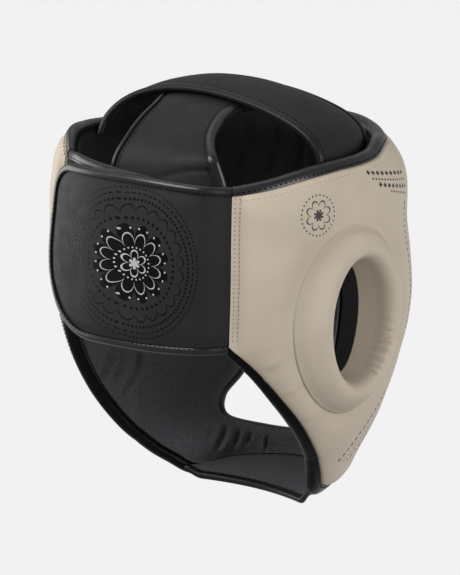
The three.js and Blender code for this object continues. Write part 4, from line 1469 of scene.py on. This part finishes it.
def addStitches(name, rows, size, finish):
    # one piece of stitches along rows of points with the way they face
    points = []
    facings = []
    edges = []
    for row, facing in rows:
        start = len(points)
        points.extend((row * mm).tolist())
        facings.append(facing)
        edges.extend((start + k, start + k + 1) for k in range(len(row) - 1))
    mesh = bpy.data.meshes.new(name + "Lines")
    mesh.from_pydata(points, edges, [])
    layer = mesh.attributes.new("facing", "FLOAT_VECTOR", "POINT")
    layer.data.foreach_set("vector", np.vstack(facings).astype(np.float32).ravel())
    piece = addObject(name, mesh)
    maker = piece.modifiers.new("stitches", "NODES")
    maker.node_group = stitchNodes
    entries = [item for item in stitchNodes.interface.items_tree if item.in_out == "INPUT"]
    names = {item.name: item.identifier for item in entries}
    for label, value in stitchSizes[size].items():
        maker[names[label]] = value * mm
    maker[names["Finish"]] = finishes[finish]
    view = bpy.context.evaluated_depsgraph_get()
    made = bpy.data.meshes.new_from_object(piece.evaluated_get(view))
    piece.modifiers.remove(maker)
    piece.data = made
    return dress(piece, finish)


def shellRow(turn, z, lift=0.0):
    # row on the shell's outer face
    return offPoint(turn, z, shellOutside(turn, z) + lift), headNormal(turn, z)


def beadRow(path, offset, up):
    # row on the outer side of a rolled binding, or the inner side where the offset is negative
    at, out, away = path
    return at + out * offset + away * up, unit(out) * np.sign(offset)


def seamRows():
    # two rows beside each rear seam
    seam = headForm["seamTurn"]
    rows = []
    for inset in stitchPlaces["seamInsets"]:
        for side in (-1, 1):
            low = lowerEdge(side * seam) + stitchPlaces["aboveLowerEdge"]
            top = topEdge(side * seam) - stitchPlaces["belowRim"]
            z = np.linspace(low, top, stitchPlaces["seamPoints"])
            arc = np.linalg.norm(headPoint(seam - 1, z) - headPoint(seam - 2, z), axis=-1)
            rows.append(shellRow(side * (seam - inset / arc), z))
    return rows


def shelfSeamRow():
    turns = evenTurns(-stitchPlaces["shelfTurn"], stitchPlaces["shelfTurn"], stitchPlaces["shelfPoints"])
    z, offset = shelfFront(turns)
    seam = offPoint(turns, z, offset - stitchPlaces["shelfSink"])
    return seam, np.zeros(seam.shape) + (0, 0, 1)


def crownRow(across):
    end = stitchPlaces["crownEnd"]
    swing = np.linspace(end, math.pi - end, pathPoints["crown"])
    at = crownPoint(across, swing, -crownLift(across))
    return at, unit(at - crownPoint(across, swing, crownBand["thickness"]))


def strapRow(across):
    end = rearStrap["boundTo"] + stitchPlaces["strapPast"]
    at, out = strapFrame(np.linspace(rearStrap["boundFrom"], end, pathPoints["strap"]), across)[:2]
    return at + out * strapLift(across), out


rimTurns = evenTurns(-stitchPlaces["rimTurn"], stitchPlaces["rimTurn"], stitchPlaces["rimPoints"])
rimRow = shellRow(rimTurns, topEdge(rimTurns) - stitchPlaces["rimDrop"], stitchPlaces["rimSink"])
bindingRows = [
    beadRow(rimPath, wallBinding["outer"], stitchPlaces["wallUp"]),
    beadRow(lowerPath, wallBinding["outer"], stitchPlaces["wallUp"]),
    beadRow(lowerPath, wallBinding["inner"], stitchPlaces["wallUp"]),
    beadRow(tabPath, tabBinding["outer"], stitchPlaces["tabUp"]),
    beadRow(shelfPath(), strapBinding["outer"], stitchPlaces["shelfUp"]),
]
flapRow = beadRow(flapPath, stitchPlaces["flapOut"], stitchPlaces["flapUp"])
crownRows = [crownRow(across) for across in stitchPlaces["crownRows"]]
strapRows = [strapRow(across) for across in stitchPlaces["strapRows"]]
addStitches("seamNeedleHoles", seamRows(), "needle", "needleHole")
addStitches("rimStitches", [rimRow], "sand", "sandThread")
addStitches("bindingStitches", bindingRows, "black", "blackThread")
addStitches("shelfSeamStitches", [shelfSeamRow()], "seam", "blackThread")
addStitches("flapStitches", [flapRow], "fine", "blackThread")
addStitches("crownStitches", crownRows + strapRows, "fine", "blackThread")
print("stitches made")


# Camera, light and floor

photoView = {
    "turn": 40, "lift": 10.5, "roll": 1.5, "distance": 1.8, "lens": 187.8, "sensor": 36,
    "target": (0, 0, -0.03), "right": 0.0024, "down": 0.0027,
}


def viewAxes():
    turn = math.radians(photoView["turn"])
    lift = math.radians(photoView["lift"])
    rolled = math.radians(photoView["roll"])
    back = Vector((-math.sin(turn) * math.cos(lift), math.cos(turn) * math.cos(lift), math.sin(lift)))
    level = Vector((-math.cos(turn), -math.sin(turn), 0))
    upright = back.cross(level)
    right = level * math.cos(rolled) + upright * math.sin(rolled)
    up = upright * math.cos(rolled) - level * math.sin(rolled)
    return right, up, back


viewRight, viewUp, viewBack = viewAxes()
aim = Vector(photoView["target"]) + viewRight * photoView["right"] - viewUp * photoView["down"]
camera = addObject("photoCamera", bpy.data.cameras.new("photoCamera"))
camera.data.lens = photoView["lens"]
camera.data.sensor_width = photoView["sensor"]
axesMatrix = Matrix((viewRight, viewUp, viewBack)).transposed()
camera.matrix_world = Matrix.Translation(aim + viewBack * photoView["distance"]) @ axesMatrix.to_4x4()
bpy.context.scene.camera = camera

studioLights = {
    # right, up, back of the view in metres, size, power
    "keyLight": (-1.4, 1.0, 1.1, 1.2, 34),
    "sideLight": (1.5, -0.2, 1.3, 1.4, 28),
    "rimLight": (-1.6, 0.35, -0.7, 1.2, 14),
    "topLight": (-0.3, 1.9, -0.2, 1.6, 5),
}
for name, (right, up, back, size, power) in studioLights.items():
    lamp = bpy.data.lights.new(name, "AREA")
    lamp.size = size
    lamp.energy = power
    place = aim + viewRight * right + viewUp * up + viewBack * back
    facing = (place - aim).to_track_quat("Z", "Y").to_matrix().to_4x4()
    addObject(name, lamp).matrix_world = Matrix.Translation(place) @ facing

surround = {"Color": (0.9, 0.9, 0.9, 1), "Strength": 0.42}
world = bpy.data.worlds.new("softSurround")
world.use_nodes = True
for label, value in surround.items():
    world.node_tree.nodes["Background"].inputs[label].default_value = value
bpy.context.scene.world = world
bpy.context.scene.view_settings.view_transform = "Standard"

floor = {
    "height": -0.5, "half": 14, "near": (0.2, 0.2, 0.2, 1), "far": (0, 0, 0, 1),
    # glow, with the distance behind the headgear where it starts and is full, and its strength there
    "glow": (0.887, 0.887, 0.887, 1), "glowPlaces": (0.0, 0.95), "glowStrength": (0.12, 1.0),
}


def makeFloor():
    corners = [(x * floor["half"], y * floor["half"], floor["height"]) for x, y in (
        (-1, -1), (1, -1), (1, 1), (-1, 1),
    )]
    mesh = bpy.data.meshes.new("floor")
    mesh.from_pydata(corners, [], [(0, 1, 2, 3)])
    piece = addObject("floor", mesh)
    desk = shaderDesk("paleFloor")
    turn = math.radians(photoView["turn"])
    inputs = {0: desk.objectPlace(), 1: (math.sin(turn), -math.cos(turn), 0)}
    behind = desk.add("ShaderNodeVectorMath", inputs, operation="DOT_PRODUCT").outputs["Value"]
    glow = desk.spread(behind, *floor["glowPlaces"], *floor["glowStrength"])
    mesh.materials.append(desk.finish({
        "Base Color": desk.blend(glow, floor["near"], floor["far"]), "Specular IOR Level": 0.0,
        "Emission Color": floor["glow"], "Emission Strength": glow,
    }))


makeFloor()
print("camera, lights and floor made")
